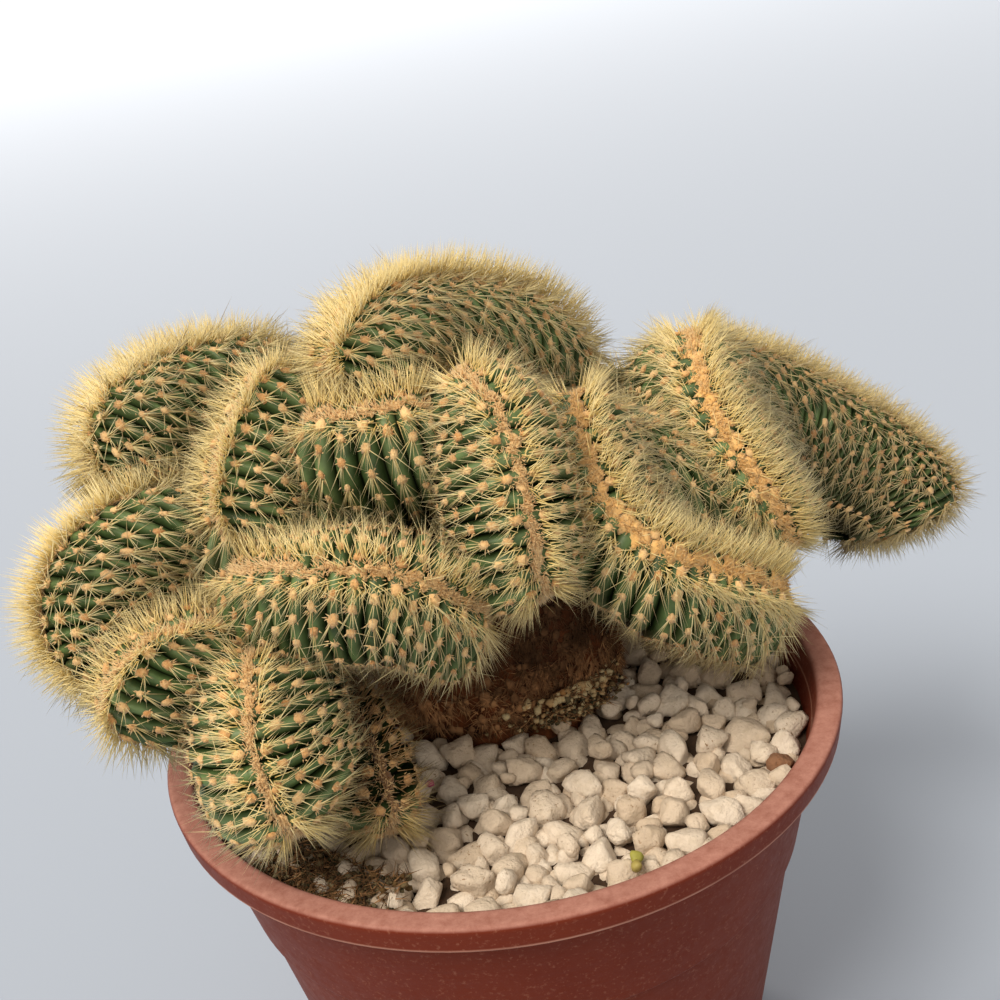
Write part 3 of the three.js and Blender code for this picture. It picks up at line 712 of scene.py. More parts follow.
def copies(faces, count, size):
    """The faces of many shapes of one kind, each of them with so many points of its own."""
    return (faces[None] + np.arange(count)[:, None, None] * size).reshape(-1, 3)


def lowest_allowed(points):
    """The height under which nothing of the crest reaches, at each point: over the grit and over the rim."""
    radius = np.hypot(points[..., 0], points[..., 1])
    over_rim = (radius > RIM_INNER_RADIUS - 1.6) & (radius < RIM_RADIUS + 0.8)
    return np.where(over_rim, OVER_RIM, np.where(radius < RIM_RADIUS, OVER_GRIT, 0))


def skin_mesh(skins):
    """All the skin that shows, in one mesh."""
    points, faces, tones = [], [], []
    count = 0
    for skin in skins:
        raised, ridge = skin.relief()
        grid = skin.grid + skin.normal * raised[..., None]
        grid[..., 2] = np.maximum(grid[..., 2], lowest_allowed(grid))
        number = numbered(grid)
        hidden = depth_inside(skin.grid.reshape(-1, 3)).reshape(number.shape) > SKIN_HIDDEN
        faces.append(quads(number + count)[~quads(hidden).all(axis=-1)])
        rib = np.arange(len(grid)) // RINGS_PER_RIB
        chance = random.random(rib.max() + 1)[rib][:, None]
        age = np.clip((skin.distance - 26) / 24, 0, 0.8)
        # Painted shade: the skin is near black in the furrows between ribs, and darker on folds in the shade
        # of others.
        shade = np.maximum(skin.shade(skin.grid[..., 2]), skin.browned)
        painted_skin_shade = np.maximum(np.clip(1.25 - ridge * 1.4, 0, 1), 0.9 * np.clip(shade * 1.6 - 0.6, 0, 1))
        tones.append(np.stack(np.broadcast_arrays(painted_skin_shade, age, chance), axis=-1).reshape(-1, 3))
        points.append(grid.reshape(-1, 3))
        count += number.size
    points, faces, tones = np.concatenate(points), np.concatenate(faces), np.concatenate(tones)
    used, numbers = np.unique(faces, return_inverse=True)
    return points[used], numbers.reshape(faces.shape), tones[used]


def shown(found):
    """What was found, as arrays, but only where its place comes out of the plant and clears what is below."""
    parts = [np.array(part) for part in zip(*found)]
    place = parts[0]
    clear = (depth_inside(place) < AREOLE_HIDDEN) & (place[:, 2] > lowest_allowed(place) + 0.5)
    return [part[clear] for part in parts]


def edge_sites(folds):
    """Places close together along every growing edge: where each is, its ways, how thick it stands with
    bristles and how much painted shade it has."""
    for skin in folds:
        line = skin.grid[:, skin.edge]
        length = travelled(line)
        for way in np.arange(SEAM_SPACING / 2, length[-1], SEAM_SPACING):
            ring = int(np.searchsorted(length, way)) - 1
            outward, along = skin.normal[ring, skin.edge], skin.along[ring, skin.edge]
            shade = skin.shade(line[ring, 2])
            fur = skin.edge_fur * (1 - shade**2)
            yield line[ring], outward, skin.downhill[ring, skin.edge + 1], along, fur, shade


def icosahedron():
    """The corners and faces of an icosahedron."""
    golden = (1 + math.sqrt(5)) / 2
    corners = np.array([
        (-1, golden, 0), (1, golden, 0), (-1, -golden, 0), (1, -golden, 0),
        (0, -1, golden), (0, 1, golden), (0, -1, -golden), (0, 1, -golden),
        (golden, 0, -1), (golden, 0, 1), (-golden, 0, -1), (-golden, 0, 1),
    ])
    faces = np.array([
        (0, 11, 5), (0, 5, 1), (0, 1, 7), (0, 7, 10), (0, 10, 11),
        (1, 5, 9), (5, 11, 4), (11, 10, 2), (10, 7, 6), (7, 1, 8),
        (3, 9, 4), (3, 4, 2), (3, 2, 6), (3, 6, 8), (3, 8, 9),
        (4, 9, 5), (2, 4, 11), (6, 2, 10), (8, 6, 7), (9, 8, 1),
    ])
    return unit(corners), faces


def refined(corners, faces):
    """A ball's triangles each split in four."""
    middles = {}
    corners = list(map(tuple, corners))
    split = []

    def middle(a, b):
        key = (min(a, b), max(a, b))
        if key not in middles:
            middles[key] = len(corners)
            corners.append(tuple(unit((np.array(corners[a]) + np.array(corners[b])) / 2)))
        return middles[key]

    for a, b, c in faces:
        ab, bc, ca = middle(a, b), middle(b, c), middle(c, a)
        split += [(a, ab, ca), (b, bc, ab), (c, ca, bc), (ab, bc, ca)]
    return np.array(corners), np.array(split)


def tufts(place, normal, downhill, along, size, tone):
    """Small felted mounds at the given places. size gives half sizes downhill, along and outwards."""
    ball, faces = icosahedron()
    uneven = 1 + 0.6 * (random.random((len(place), len(ball), 1)) - 0.5)
    local = ball[None] * size[:, None] * uneven
    points = (
        place[:, None]
        + local[..., :1] * downhill[:, None]
        + local[..., 1:2] * along[:, None]
        + local[..., 2:] * normal[:, None]
    )
    return points.reshape(-1, 3), copies(faces, len(place), len(ball)), np.repeat(tone, len(ball), axis=0)


def cut_short(roots, ways, lengths):
    """The bristles' lengths, cut where they would run into the plant, the grit or the rim, or too far out."""
    ways = np.where(np.abs(ways) < 1e-6, 1e-6, ways)
    low, high = (np.array(corner) / MM for corner in CAD_BOX)
    room = np.where(ways > 0, high + OVERHANG - roots, low - OVERHANG - roots) / ways
    lengths = np.clip(room.min(axis=1), 0, lengths)
    for i, (root, way) in enumerate(zip(roots, ways)):
        if lengths[i] == 0:
            continue
        way = Vector(way)
        gone = 1.2  # starts a little way out, clear of the skin it stands on
        for _ in range(2):
            ahead = max(lengths[i] - gone, 0.01)
            place, normal, _, distance = PLANT.ray_cast(Vector(root) + way * gone, way, ahead)
            if place is None:
                break
            gone += distance
            if normal.dot(way) < 0:
                lengths[i] = gone + 0.4
                break
            gone += 0.05
    tips = roots + ways * lengths[:, None]
    lengths[tips[:, 2] < lowest_allowed(tips) - 1.5] = 0
    return lengths


def bristles(roots, ways, lengths, radius, gold, age, chance, shortest=1.2):
    """Three-sided tapering bristles, with their tone from root to tip. Those shorter than the shortest are
    left out."""
    kept = lengths > shortest
    roots, ways = roots[kept], ways[kept]
    lengths, radius, gold, age, chance = (
        part[kept] for part in np.broadcast_arrays(lengths, radius, gold, age, chance)
    )
    aside = unit(np.cross(ways, ways[:, [1, 2, 0]] * [1, -1, 1] + [0.3, 0.1, 0.7]))
    other = np.cross(ways, aside)
    corners = [
        roots + radius[:, None] * (math.cos(turn) * aside + math.sin(turn) * other)
        for turn in (0, 2 * math.pi / 3, 4 * math.pi / 3)
    ]
    points = np.stack([*corners, roots + ways * lengths[:, None]], axis=1)
    tone = np.repeat(np.stack([gold, age, chance * 0.45], axis=1)[:, None], 4, axis=1)
    tone[:, 3, 2] += 0.55
    return points.reshape(-1, 3), copies(BRISTLE_FACES, len(roots), 4), tone.reshape(-1, 3)


def lifted(flat, up, normal):
    """Ways along the skin, each lifted from it by an angle."""
    return unit(np.cos(up)[..., None] * flat + np.sin(up)[..., None] * normal[:, None])


def fan(place, normal, downhill, along, each, width, strays, rise, spread):
    """Roots and ways of bristles that fan out of each place, downhill within a width in degrees but for a
    share of strays. rise is the least and most angle to the skin, in degrees."""
    count = len(place)
    turn = np.radians(width) * random.normal(size=(count, each))
    stray = random.random((count, each)) < strays
    turn = np.where(stray, (random.random((count, each)) * 2 - 1) * math.pi, turn)
    up = np.radians(rise[0] + (rise[1] - rise[0]) * random.random((count, each)))
    flat = np.cos(turn)[..., None] * downhill[:, None] + np.sin(turn)[..., None] * along[:, None]
    roots = place[:, None] + flat * (spread * random.random((count, each, 1)))
    return roots.reshape(-1, 3), lifted(flat, up, normal).reshape(-1, 3)


def worn(count, share, most):
    """How worn each bristle is: a share of them, up to the most."""
    return np.where(random.random(count) < share, most * random.random(count), 0)


def make_areoles(place, normal, downhill, along, row, fur, shade):
    """The areoles of the flanks: woolly pads with short hairs, and fans of bristles that point downhill."""
    gold = np.exp(-row / 7)
    # Old areoles far from the edge are browner; shaded folds add painted shade, browner still.
    age = np.maximum(np.clip((row - 22) / 30, 0, 1) * random.random(len(row)), shade * 0.7)
    seats = (place + normal * PAD_RISE, normal, downhill, along)
    make_pads(seats, np.interp(place[:, 1], [5, 35], [1, 0.4]), row, gold, age)
    make_flank_bristles(seats, row, fur, gold, age)


def make_pads(seats, share, row, gold, age):
    """The woolly pads, and short hairs on them, of which a share is kept."""
    count = len(row)
    big = (0.8 + 0.4 * random.random(count)) * np.interp(row, [0, 10, 30], [1.15, 1, 0.8])
    tone = np.stack([gold * 0.3, 0.5 * age, 0.1 + 0.5 * random.random(count)], axis=1)
    plant_piece("areole_pads", tufts(*seats, PAD_SIZE * big[:, None], tone), "areole_felt")

    share, gold, age = (np.repeat(part, PAD_HAIRS) for part in (share, gold * 0.3, 0.5 * age))
    roots, ways = fan(*seats, PAD_HAIRS, width=90, strays=0.6, rise=(20, 90), spread=1.5)
    kept = random.random(len(roots)) < share
    lengths = kept * (0.8 + 0.6 * random.random(len(roots)))
    light = 0.5 + 0.5 * random.random(len(roots))
    wool = bristles(roots, ways, lengths, PAD_HAIR, gold, age, light, shortest=0.5)
    plant_piece("areole_wool", wool, "areole_felt")


def make_flank_bristles(seats, row, fur, gold, age):
    """The bristles of the flanks' areoles: more upright, longer and more golden near the growing edge."""
    upright = np.interp(row, [0, 8, 20], [1, 0.5, 0.1])[:, None]
    rise = (10 + 16 * upright, 40 + 26 * upright)
    roots, ways = fan(*seats, FLANK_BRISTLES, width=26, strays=0.06, rise=rise, spread=1.3)
    total = len(roots)
    shorter = np.interp(row, [0, 6, 30], [1.1, 1.05, 0.85])
    shorter, fur, gold, age = (np.repeat(part, FLANK_BRISTLES) for part in (shorter, fur, gold, age))
    lengths = (5.2 + 4.8 * random.random(total) ** 1.3) * shorter * (0.94 + 0.22 * fur)
    lengths = cut_short(roots, ways, lengths * (random.random(total) < 0.27 + 0.73 * fur))
    gold = gold * (0.4 + 0.6 * random.random(total))
    age = np.maximum(age, worn(total, share=0.4, most=0.8))
    made = bristles(roots, ways, lengths, 0.125 + 0.055 * fur, gold, age, random.random(total))
    split_bristles("flank_bristles", made, "dry_bristle")


def split_bristles(name, made, finish):
    """The bristles as three pieces, by where they grow: to the viewer's left and right, and behind."""
    points, _, tone = made
    root = points.reshape(-1, 4, 3)[:, 0]
    behind, left = root[:, 1] > BEHIND, root[:, 0] < 0
    for part, chosen in (("left", ~behind & left), ("right", ~behind & ~left), ("behind", behind)):
        some = np.repeat(chosen, 4)
        faces = copies(BRISTLE_FACES, chosen.sum(), 4)
        plant_piece(f"{name}_{part}", (points[some], faces, tone[some]), finish)


def make_growing_edges(place, normal, downhill, along, fur, shade):
    """The growing edges: a seam of pale wool that turns orange to the right and in the hollow, and bristles
    that lean outwards from it to both sides."""
    wave = 0.5 + 0.5 * np.sin(place @ np.array([0.11, 0.07, 0.13]) + 1.5)
    hue = np.clip(0.3 * wave + np.clip((place[:, 0] - 14) / 22, 0, 1) * 0.7, 0, 1)
    deep = np.exp(-((np.linalg.norm(place - HOLLOW, axis=1) / HOLLOW_REACH) ** 2))
    ways = (normal, downhill, along)
    make_seam(place, ways, hue, deep, shade)
    make_edge_bristles(place, ways, np.maximum(hue, deep), fur, shade)


def make_seam(place, ways, hue, deep, shade):
    """The wool along the growing edges: a seam of felted mounds, wider where it is orange, and its hairs."""
    normal, downhill, along = ways
    count = len(place)
    orange = np.maximum(hue, deep)
    aside = (random.random((count, 1)) - 0.5) * (2.6 + 2.9 * orange[:, None])
    seat = place + downhill * aside + along * (random.random((count, 1)) - 0.5)
    seat += normal * (0.3 - 0.08 * aside**2)
    under = place + downhill * aside * 0.65
    size = SEAM_SIZE * (0.6 + 0.6 * random.random((count, 1))) * (1 + orange[:, None] * [0.9, 0.25, 0])
    gold = np.maximum(hue * (0.6 + 0.4 * random.random(count)), deep)
    # Painted shade: the wool is browner on shaded folds and in the hollow.
    age = np.maximum(shade, 0.55 * deep)
    tone = np.stack([gold * 0.8, age, 0.3 + 0.4 * random.random(count)], axis=1)
    some = (np.arange(count) % 2 == 0) | (orange > 0.55)
    mounds = tufts(*(part[some] for part in (under, *ways, size, tone)))
    plant_piece("growing_edge_seam", mounds, "areole_felt")

    roots, hairs = fan(seat, *ways, SEAM_HAIRS, width=90, strays=0.7, rise=(25, 90), spread=1.5)
    total = len(roots)
    deep, gold, age = (np.repeat(part, SEAM_HAIRS) for part in (deep, gold, age))
    lengths = (1.0 + 1.4 * random.random(total)) * (1 - 0.3 * deep)
    gold = gold * (0.3 + 0.7 * random.random(total))
    age = age * random.random(total)
    light = 0.3 + 0.7 * random.random(total)
    wool = bristles(roots, hairs, lengths, SEAM_HAIR, gold, age, light, shortest=0.8)
    plant_piece("growing_edge_wool", wool, "areole_felt")


def make_edge_bristles(place, ways, orange, fur, shade):
    """The brush of long bristles along the growing edges, upright where it is thick."""
    normal, downhill, along = ways
    shape = (len(place), EDGE_BRISTLES)
    side = np.where(random.random(shape) < 0.5, -1, 1)
    turn = np.radians(28) * random.normal(size=shape)
    low, high, start = (
        np.where(fur > FURRED, thick, thin)[:, None] for thick, thin in ((30, 15), (88, 66), (0.8, 2.2))
    )
    up = np.radians(low + (high - low) * random.random(shape))
    start = start + 0.9 * orange[:, None]
    flat = (np.cos(turn) * side)[..., None] * downhill[:, None] + np.sin(turn)[..., None] * along[:, None]
    leans = lifted(flat, up, normal).reshape(-1, 3)
    reach = (1.8 + 3.6 * fur**2)[:, None, None]
    roots = place[:, None] + flat * (start[..., None] + reach * random.random((*shape, 1)))
    roots = roots.reshape(-1, 3)
    total = len(roots)
    longer = np.where(fur > FURRED, 3.8, 4.2)
    share, longer, shade = (np.repeat(part, EDGE_BRISTLES) for part in (0.22 + 0.78 * fur, longer, shade))
    lengths = (5.2 + longer * random.random(total)) * (random.random(total) < 0.9 * share)
    lengths = cut_short(roots, leans, lengths)
    gold = 0.5 + 0.5 * random.random(total)
    # Painted shade: bristles are browner on shaded folds; some others are worn.
    age = np.maximum(shade, worn(total, share=0.2, most=0.6))
    brush = bristles(roots, leans, lengths, EDGE_BRISTLE, gold, age, random.random(total))
    plant_piece("growing_edge_bristles", brush, "dry_bristle")


def make_plant():
    """The whole plant: skin, areoles and growing edges with their bristles, and the stem."""
    folds = []
    for name, fold in FOLDS.items():
        grid = fold_grid(fold, FINE_RIB_WIDTH if name in FINE_RIBBED else RIB_WIDTH)
        folds.append(Skin(*grid, fold.fur, SHADED_ABOVE.get(name), PAINTED_SHADE.get(name, 0)))
    skins = folds + [Skin(*lump_grid(*lump)) for lump in FLESH]
    plant_piece("ribbed_skin", skin_mesh(skins), "living_skin")
    make_areoles(*shown(areole for skin in skins for areole in skin.areoles()))
    make_growing_edges(*shown(edge_sites(folds)))
    make_stem()
    make_stem_wool()


def stem_skin(turn, heights):
    """Points of the stem's rough surface at the given turns and heights."""
    share = np.interp(heights, [102, 116.6, 123.6, 130.6, 138.6, 150], [0.96, 1, 0.98, 1.02, 1.06, 1.12])
    ridges = 1 + 0.035 * (np.sin(3 * turn + heights / 6) + np.sin(8 * turn - heights / 5))
    crags = 0.025 * np.sin(21 * turn + 3 * np.sin(heights / 3)) * np.sin(heights / 1.7 + 5 * turn)
    radius = share * (ridges + crags)
    return np.stack([
        STEM_CENTRE[0] + STEM_WIDTH * np.cos(turn) * radius,
        STEM_CENTRE[1] + STEM_DEPTH * np.sin(turn) * radius,
        heights + 0 * turn,
    ], axis=-1)


def make_stem():
    """The corky stem from the grit up into the flesh."""
    sides, rings = 100, 32
    turn = np.linspace(0, 2 * math.pi, sides, endpoint=False)[:, None]
    grid = stem_skin(turn, np.linspace(STEM_FOOT, STEM_TOP, rings)[None])
    faces = quads(numbered(grid), closed=True)
    plant_piece("corky_stem", (grid.reshape(-1, 3), faces.reshape(-1, 4)), "corky_bark")


def make_stem_wool():
    """Old wool and dead bristles that hang shaggy on the stem, lighter in patches, and lighter low down
    because they get painted shade higher up under the crest.
    """
    count = STEM_TUFTS
    turn = 2 * math.pi * random.random(count)
    foot, top = 112, STEM_TOP - 4
    heights = foot + (top - foot) * random.random(count)
    place = stem_skin(turn, heights)
    normal = unit(np.stack([np.cos(turn) / STEM_WIDTH, np.sin(turn) / STEM_DEPTH, np.zeros(count)], axis=-1))
    sideways = np.stack([-np.sin(turn), np.cos(turn), np.zeros(count)], axis=-1)
    ways = (normal, np.broadcast_to((0.0, 0.0, -1.0), (count, 3)), sideways)
    size = STEM_TUFT_SIZE * (0.5 + random.random((count, 1)))
    slow, quick = (np.sin(place @ np.array(wave)) for wave in ([0.31, 0.2, 0.4], [-0.17, 0.3, 0.23]))
    patchy = 0.5 + 0.5 * slow * quick
    # Painted shade: the wool is darker the higher it hangs under the crest.
    low = np.clip((134 - heights) / 13, 0, 1)
    lit = np.clip(patchy * 0.9 + 0.4 * random.random(count), 0, 1) * (0.15 + 0.85 * low)
    faded = np.where(random.random(count) < 0.05 * low, 0.6, 0.0)
    tone = np.stack([0.6 * lit, 0 * lit, 0 * lit], axis=1)
    plant_piece("stem_wool", tufts(place + normal * 0.2, *ways, size, tone), "dead_wool")

    roots, hairs = fan(place, *ways, STEM_HAIRS, width=50, strays=0.25, rise=(5, 40), spread=2.2)
    total = len(roots)
    lengths = 1.8 + 3.2 * random.random(total)
    tips = roots + hairs * lengths[:, None]
    lengths[tips[:, 2] < STONE_TOP - 2] = 0
    lit, faded = (np.repeat(part, STEM_HAIRS) for part in (lit, faded))
    lit = lit * (0.4 + 0.6 * random.random(total))
    plant_piece("stem_hairs", bristles(roots, hairs, lengths, STEM_HAIR, lit, faded, 0), "dead_wool")


def outer_radius(z):
    """The radius of the pot's outer wall."""
    if z < STEP_HEIGHT:
        return np.interp(z, [0, STEP_HEIGHT], [FOOT_RADIUS, STEP_RADIUS - STEP_INSET])
    return np.interp(z, [STEP_HEIGHT, POT_HEIGHT], [STEP_RADIUS, RIM_INNER_RADIUS + WALL])


def inner_radius(z):
    """The radius of its inner wall."""
    at_step = outer_radius(STEP_HEIGHT - 1) - WALL
    return np.interp(z, [0, STEP_HEIGHT, POT_HEIGHT], [FOOT_RADIUS - WALL, at_step, RIM_INNER_RADIUS])


def rounded(profile, steps=4):
    """A closed profile of (radius, height, rounding) corners with the corners rounded. A point just off each
    rounding keeps the walls' shading straight."""
    points = []
    for i, (radius, height, rounding) in enumerate(profile):
        here = np.array((radius, height), float)
        if rounding == 0:
            points.append(here)
            continue
        before = unit(np.array(profile[i - 1][:2], float) - here)
        after = unit(np.array(profile[(i + 1) % len(profile)][:2], float) - here)
        points.append(here + before * rounding * 1.6)
        for t in np.linspace(0, 1, steps + 1):
            points.append(here + before * rounding * (1 - t) ** 2 + after * rounding * t**2)
        points.append(here + after * rounding * 1.6)
    return np.array(points)


def drill_holes(pot):
    """Cuts the ring of drainage holes through the pot's foot."""
    corners, faces = [], []
    turn = np.linspace(0, 2 * math.pi, DRAIN_SIDES, endpoint=False)
    side = np.arange(DRAIN_SIDES)
    for i in range(DRAIN_COUNT):
        angle = 2 * math.pi * i / DRAIN_COUNT
        x = DRAIN_CIRCLE * math.cos(angle) + DRAIN_RADIUS * np.cos(turn)
        y = DRAIN_CIRCLE * math.sin(angle) + DRAIN_RADIUS * np.sin(turn)
        low = len(corners) + side
        top = low + DRAIN_SIDES
        for z in (-FLOOR, 2 * FLOOR):
            corners += list(zip(x * MM, y * MM, 0 * x + z * MM))
        faces += np.stack([low, np.roll(low, -1), np.roll(top, -1), top], axis=1).tolist()
        faces += [low[::-1].tolist(), top.tolist()]
    mesh = bpy.data.meshes.new("drill")
    mesh.from_pydata(corners, [], faces)
    drill = new_object("drill", mesh)
    cut = pot.modifiers.new("drains", "BOOLEAN")
    cut.operation = "DIFFERENCE"
    cut.object = drill
    drilled = bpy.data.meshes.new_from_object(pot.evaluated_get(bpy.context.evaluated_depsgraph_get()))
    pot.modifiers.clear()
    pot.data = drilled
    bpy.data.objects.remove(drill)


def make_pot():
    """The moulded pot, turned from its profile, with its drainage holes cut through the foot."""
    band_low = POT_HEIGHT - RIM_DEPTH
    under = POT_HEIGHT - RIM_WALL
    small = SMALL_ROUND
    profile = rounded([
        (1e-3, 0, 0),
        (FOOT_RADIUS, 0, 3 * small),
        (outer_radius(STEP_HEIGHT - 1), STEP_HEIGHT - 1, small),
        (STEP_RADIUS, STEP_HEIGHT, small),
        (outer_radius(under), under, small),
        (RIM_RADIUS - RIM_WALL, under, small),
        (RIM_RADIUS - BAND_TAPER - RIM_WALL, band_low, small),
        (RIM_RADIUS - BAND_TAPER, band_low, small),
        (RIM_RADIUS, POT_HEIGHT, RIM_ROUND),
        (RIM_INNER_RADIUS, POT_HEIGHT, RIM_ROUND),
        (inner_radius(STEP_HEIGHT), STEP_HEIGHT, small),
        (inner_radius(FLOOR), FLOOR, 2 * small),
        (1e-3, FLOOR, 0),
    ])
    grid = turned(POT_SIDES, *profile.T)
    number = numbered(grid)
    faces = quads(np.hstack([number[:, -1:], number]), closed=True)
    pot = mesh_piece("moulded_pot", (grid.reshape(-1, 3), faces.reshape(-1, 4)), "moulded_polypropylene")
    drill_holes(pot)
    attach(pot, "root")
    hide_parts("pot")


def scattered(reach, sizes, top, tries, closeness, first):
    """Places for stones: the first ones as given, then others thrown at random, the largest first, so that
    they hardly overlap in plan."""
    kept = np.array(first, float).reshape(-1, 3)
    for size in np.linspace(sizes[1], sizes[0], tries):
        turn, way = random.random(2)
        turn *= 2 * math.pi
        x = (reach - size) * math.sqrt(way) * math.cos(turn)
        y = (reach - size) * math.sqrt(way) * math.sin(turn)
        width, depth = STEM_WIDTH + size / 2, STEM_DEPTH + size / 2
        if math.hypot((x - STEM_CENTRE[0]) / width, (y - STEM_CENTRE[1]) / depth) < 1:
            continue
        gap = np.hypot(kept[:, 0] - x, kept[:, 1] - y) - closeness * (kept[:, 2] + size)
        if len(kept) == 0 or gap.min() > 0:
            kept = np.vstack([kept, (x, y, size)])
    heights = top + (random.random(len(kept)) - 0.5) * 2 * STONE_SPREAD
    return np.column_stack([kept, heights])


def grain(ball, planes=8, sharpness=24):
    """A ball of points pressed into a grain with flat sides and rounded edges."""
    sides = np.concatenate([unit(random.normal(size=(planes, 3))), np.eye(3), -np.eye(3)])
    away = np.concatenate([0.66 + 0.3 * random.random(planes), 0.92 + 0.16 * random.random(6)])
    reach = np.maximum(ball @ sides.T, 0) / away
    return ball / (reach**sharpness).sum(axis=1, keepdims=True) ** (1 / sharpness)


def stones(places, ball, faces, tone=None):
    """Rounded, slightly angular grains. Each place holds x, y, half size and the height of a grain's top."""
    points, tones = [], []
    for i, (x, y, size, top) in enumerate(places):
        shape = grain(ball)
        for wave in random.normal(size=(3, 3)) * 2.4:
            shape *= 1 + 0.045 * np.sin(ball @ wave + 6 * random.random())[:, None]
        shape *= size * np.array([1.14, 0.98, 0.95]) * (1 + 0.26 * (random.random(3) - 0.5))
        spin = Matrix.Rotation(random.random() * 2 * math.pi, 3, "Z")
        tilt = Matrix.Rotation((random.random() - 0.5) * 1.6, 3, "X")
        shape = shape @ np.array(tilt @ spin)
        shape += np.array((x, y, top - shape[:, 2].max()))
        over = (np.hypot(shape[:, 0], shape[:, 1]) - inner_radius(shape[:, 2])).max() + 0.2
        if over > 0:
            shape[:, :2] -= unit(np.array((x, y))) * over
        points.append(shape)
        own = (random.random(), 0.0, random.random()) if tone is None else tone[i]
        tones.append(np.tile(own, (len(ball), 1)))
    return np.concatenate(points), copies(faces, len(places), len(ball)), np.concatenate(tones)


def make_grit():
    """The pumice top dressing: two layers of grains over darker fines, and what has fallen on it."""
    seed = icosahedron()
    ball = refined(*seed)
    fine_ball = refined(*ball)
    reach = inner_radius(STONE_TOP) - 0.4
    first = [(58.7, -17.4, 5), (63.4, -33.4, 3)]  # a large grain, and a chip of brown bark
    upper = scattered(reach, (1.7, 3.7), STONE_TOP, tries=14000, closeness=1.0, first=first)
    lower = scattered(reach, (1.8, 3.4), STONE_TOP - LAYER_STEP, tries=10000, closeness=0.8, first=[])
    big = upper[:, 2] > 2.7
    count = big.sum()
    tone = np.column_stack([random.random(count), np.zeros(count), random.random(count)])
    tone[1] = (0.2, 0.85, 1)  # the chip of bark
    grit_piece("pumice_grains_big", stones(upper[big], *fine_ball, tone), "pumice_stone")
    grit_piece("pumice_grains_small", stones(upper[~big], *ball), "pumice_stone")
    grit_piece("pumice_grains_below", stones(lower, *ball), "pumice_stone")
    make_fines(reach)
    crumbs, tone = (np.concatenate(both) for both in zip(heap_crumbs(), rim_crumbs()))
    grit_piece("dead_crumbs", stones(crumbs, *seed, tone), "dead_pad", "soil")
    make_dead_bristles(crumbs)
    scraps = np.array([(24.8, -60.5, 1.5, 114), (24.9, -63.4, 1.3, 113.6), (-19.6, -24.2, 1.2, 114.6)])
    tone = np.array([(0, 0, 0), (0.15, 0, 0), (1, 0, 0)], float)
    grit_piece("leaf_scraps", stones(scraps, *ball, tone), "dry_leaf", "cactus")


def make_fines(reach):
    """Darker fines between the grains."""
    sides, rings = 90, 36
    heights = FINES_LOW + random.random((sides, rings)) * FINES_SPREAD
    grid = turned(sides, np.linspace(0.5, reach, rings), heights)
    faces = quads(numbered(grid), closed=True)[..., [0, 3, 2, 1]]
    grit_piece("grit_fines", (grid.reshape(-1, 3), faces.reshape(-1, 4)), "potting_mix", "soil")


def heap_crumbs():
    """Places and tones of crumbs in a heap against the stem's right foot, paler and larger near its top."""
    count = HEAP_CRUMBS
    turn = np.radians(-52 + 16 * random.normal(size=count))
    rise = HEAP_RISE * random.random(count) ** 1.7
    out = 1 + 0.13 * random.random(count) * (1.2 - rise / HEAP_RISE)
    large, little = 0.5 + 1.1 * random.random(count) ** 2, 0.35 + 0.5 * random.random(count) ** 2
    heap = np.column_stack([
        STEM_CENTRE[0] + STEM_WIDTH * out * np.cos(turn),
        STEM_CENTRE[1] + STEM_DEPTH * out * np.sin(turn) - 0.5,
        np.where(rise > 5, large, little),
        113.4 + rise,
    ])
    pale = random.random(count) < np.clip(0.25 + rise / 12, 0, 1)
    dark = np.where(pale, 0.15 * random.random(count), 0.6 + 0.4 * random.random(count))
    return heap, np.column_stack([dark, random.random(count) ** 2, random.random(count)])


def rim_crumbs():
    """Places and tones of the crumbs in a mat by the rim under the left fold."""
    count = RIM_CRUMBS
    turn = np.radians(-129 + 8 * np.clip(random.normal(size=count), -1.9, 1.9))
    way = 75.5 - 15 * random.random(count) ** 1.5
    size = 0.35 + 0.7 * random.random(count) ** 2
    height = STONE_TOP - 1.2 + 2.2 * random.random(count)
    mat = np.column_stack([way * np.cos(turn), way * np.sin(turn), size, height])
    dark = 0.3 + 0.7 * random.random(count) ** 0.5
    return mat, np.column_stack([dark, random.random(count), random.random(count)])


def make_dead_bristles(crumbs):
    """Dry bristles fallen among the crumbs."""
    spots = np.concatenate([crumbs[random.random(len(crumbs)) < 0.6]] * 2)[:, [0, 1, 3]]
    count = len(spots)
    heading = 2 * math.pi * random.random(count)
    tilt = 0.7 * random.random(count) - 0.15
    ways = unit(np.stack([np.cos(heading), np.sin(heading), tilt], axis=1))
    lengths = 2 + 3.5 * random.random(count)
    tips = spots + ways * lengths[:, None]
    lengths[np.hypot(tips[:, 0], tips[:, 1]) > inner_radius(STONE_TOP) - 0.3] = 0
    lit, faded = 0.6 * random.random(count) ** 2, 0.3 * random.random(count) ** 2
    grit_piece("dead_bristles", bristles(spots, ways, lengths, 0.17, lit, faded, 0), "dead_wool", "soil")


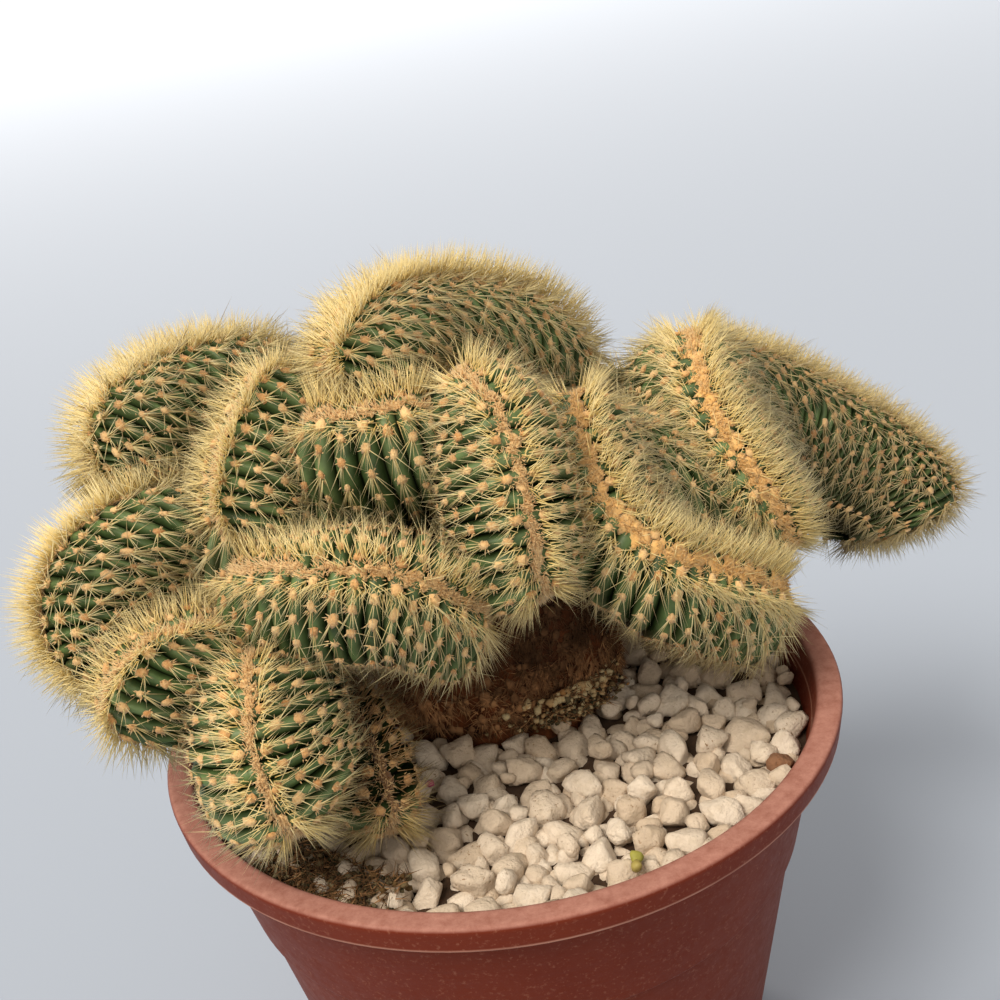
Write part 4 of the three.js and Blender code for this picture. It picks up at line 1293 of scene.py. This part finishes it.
def lamp(name, kind, energy, colour, place, target, **settings):
    """A light of a kind with its own settings, at a place and turned towards a target."""
    light = bpy.data.lights.new(name, kind)
    light.energy = energy
    light.color = linear(colour)[:3]
    for setting, value in settings.items():
        setattr(light, setting, value)
    made = new_object(name, light)
    made.location = place
    made.rotation_mode = "QUATERNION"
    made.rotation_quaternion = (Vector(target) - Vector(place)).to_track_quat("-Z", "Y")


def make_studio():
    """Floor, lights and sky."""
    edge = 60.0
    corners = np.array([(-edge, -edge, 0), (edge, -edge, 0), (edge, edge, 0), (-edge, edge, 0)]) / MM
    floor = mesh_piece("studio_floor", (corners, np.array([[0, 1, 2, 3]])), "studio_paper")
    lamp("window_light", "SUN", 3.4, "#fff3e0", (-0.5, -0.48, 0.95), (0, 0, 0), angle=math.radians(32))
    lamp("front_light", "AREA", 4, "#fff3e0", (0.5, -1.5, 0.6), (0, 0, 0.12), shape="SQUARE", size=1.0)
    lamp(
        "back_light", "SPOT", 7400, "#fff0dc", (-1.4, 6.0, 9.0), (-1.4, 6.0, 0),
        shadow_soft_size=1.0, spot_size=math.radians(80), spot_blend=1,
    )
    sky = bpy.data.worlds.new("soft_sky")
    sky.use_nodes = True
    background = sky.node_tree.nodes["Background"].inputs
    background["Color"].default_value = linear("#fff4e4")
    background["Strength"].default_value = 0.58
    bpy.context.scene.world = sky


def make_camera():
    """The camera in the photograph's place, and colours shown as they are."""
    camera = bpy.data.cameras.new("camera")
    camera.angle = math.radians(CAMERA_ANGLE)
    camera.clip_end = 200
    eye = new_object("camera", camera)
    down = Matrix.Rotation(math.radians(90 - CAMERA_DOWN), 4, "X")
    roll = Matrix.Rotation(math.radians(CAMERA_ROLL), 4, "Z")
    eye.matrix_world = Matrix.Translation(CAMERA_PLACE) @ down @ roll
    bpy.context.scene.camera = eye
    bpy.context.scene.view_settings.view_transform = "Standard"


for surface in (
    living_skin, areole_felt, dry_bristle, corky_bark, dead_wool, dead_pad,
    pumice_stone, dry_leaf, potting_mix, moulded_polypropylene, studio_paper,
):
    make_material(surface)
make_plant()
make_grit()
make_pot()
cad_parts["soil"].data.materials.clear()
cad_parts["soil"].data.materials.append(bpy.data.materials["potting_mix"])
make_studio()
make_camera()
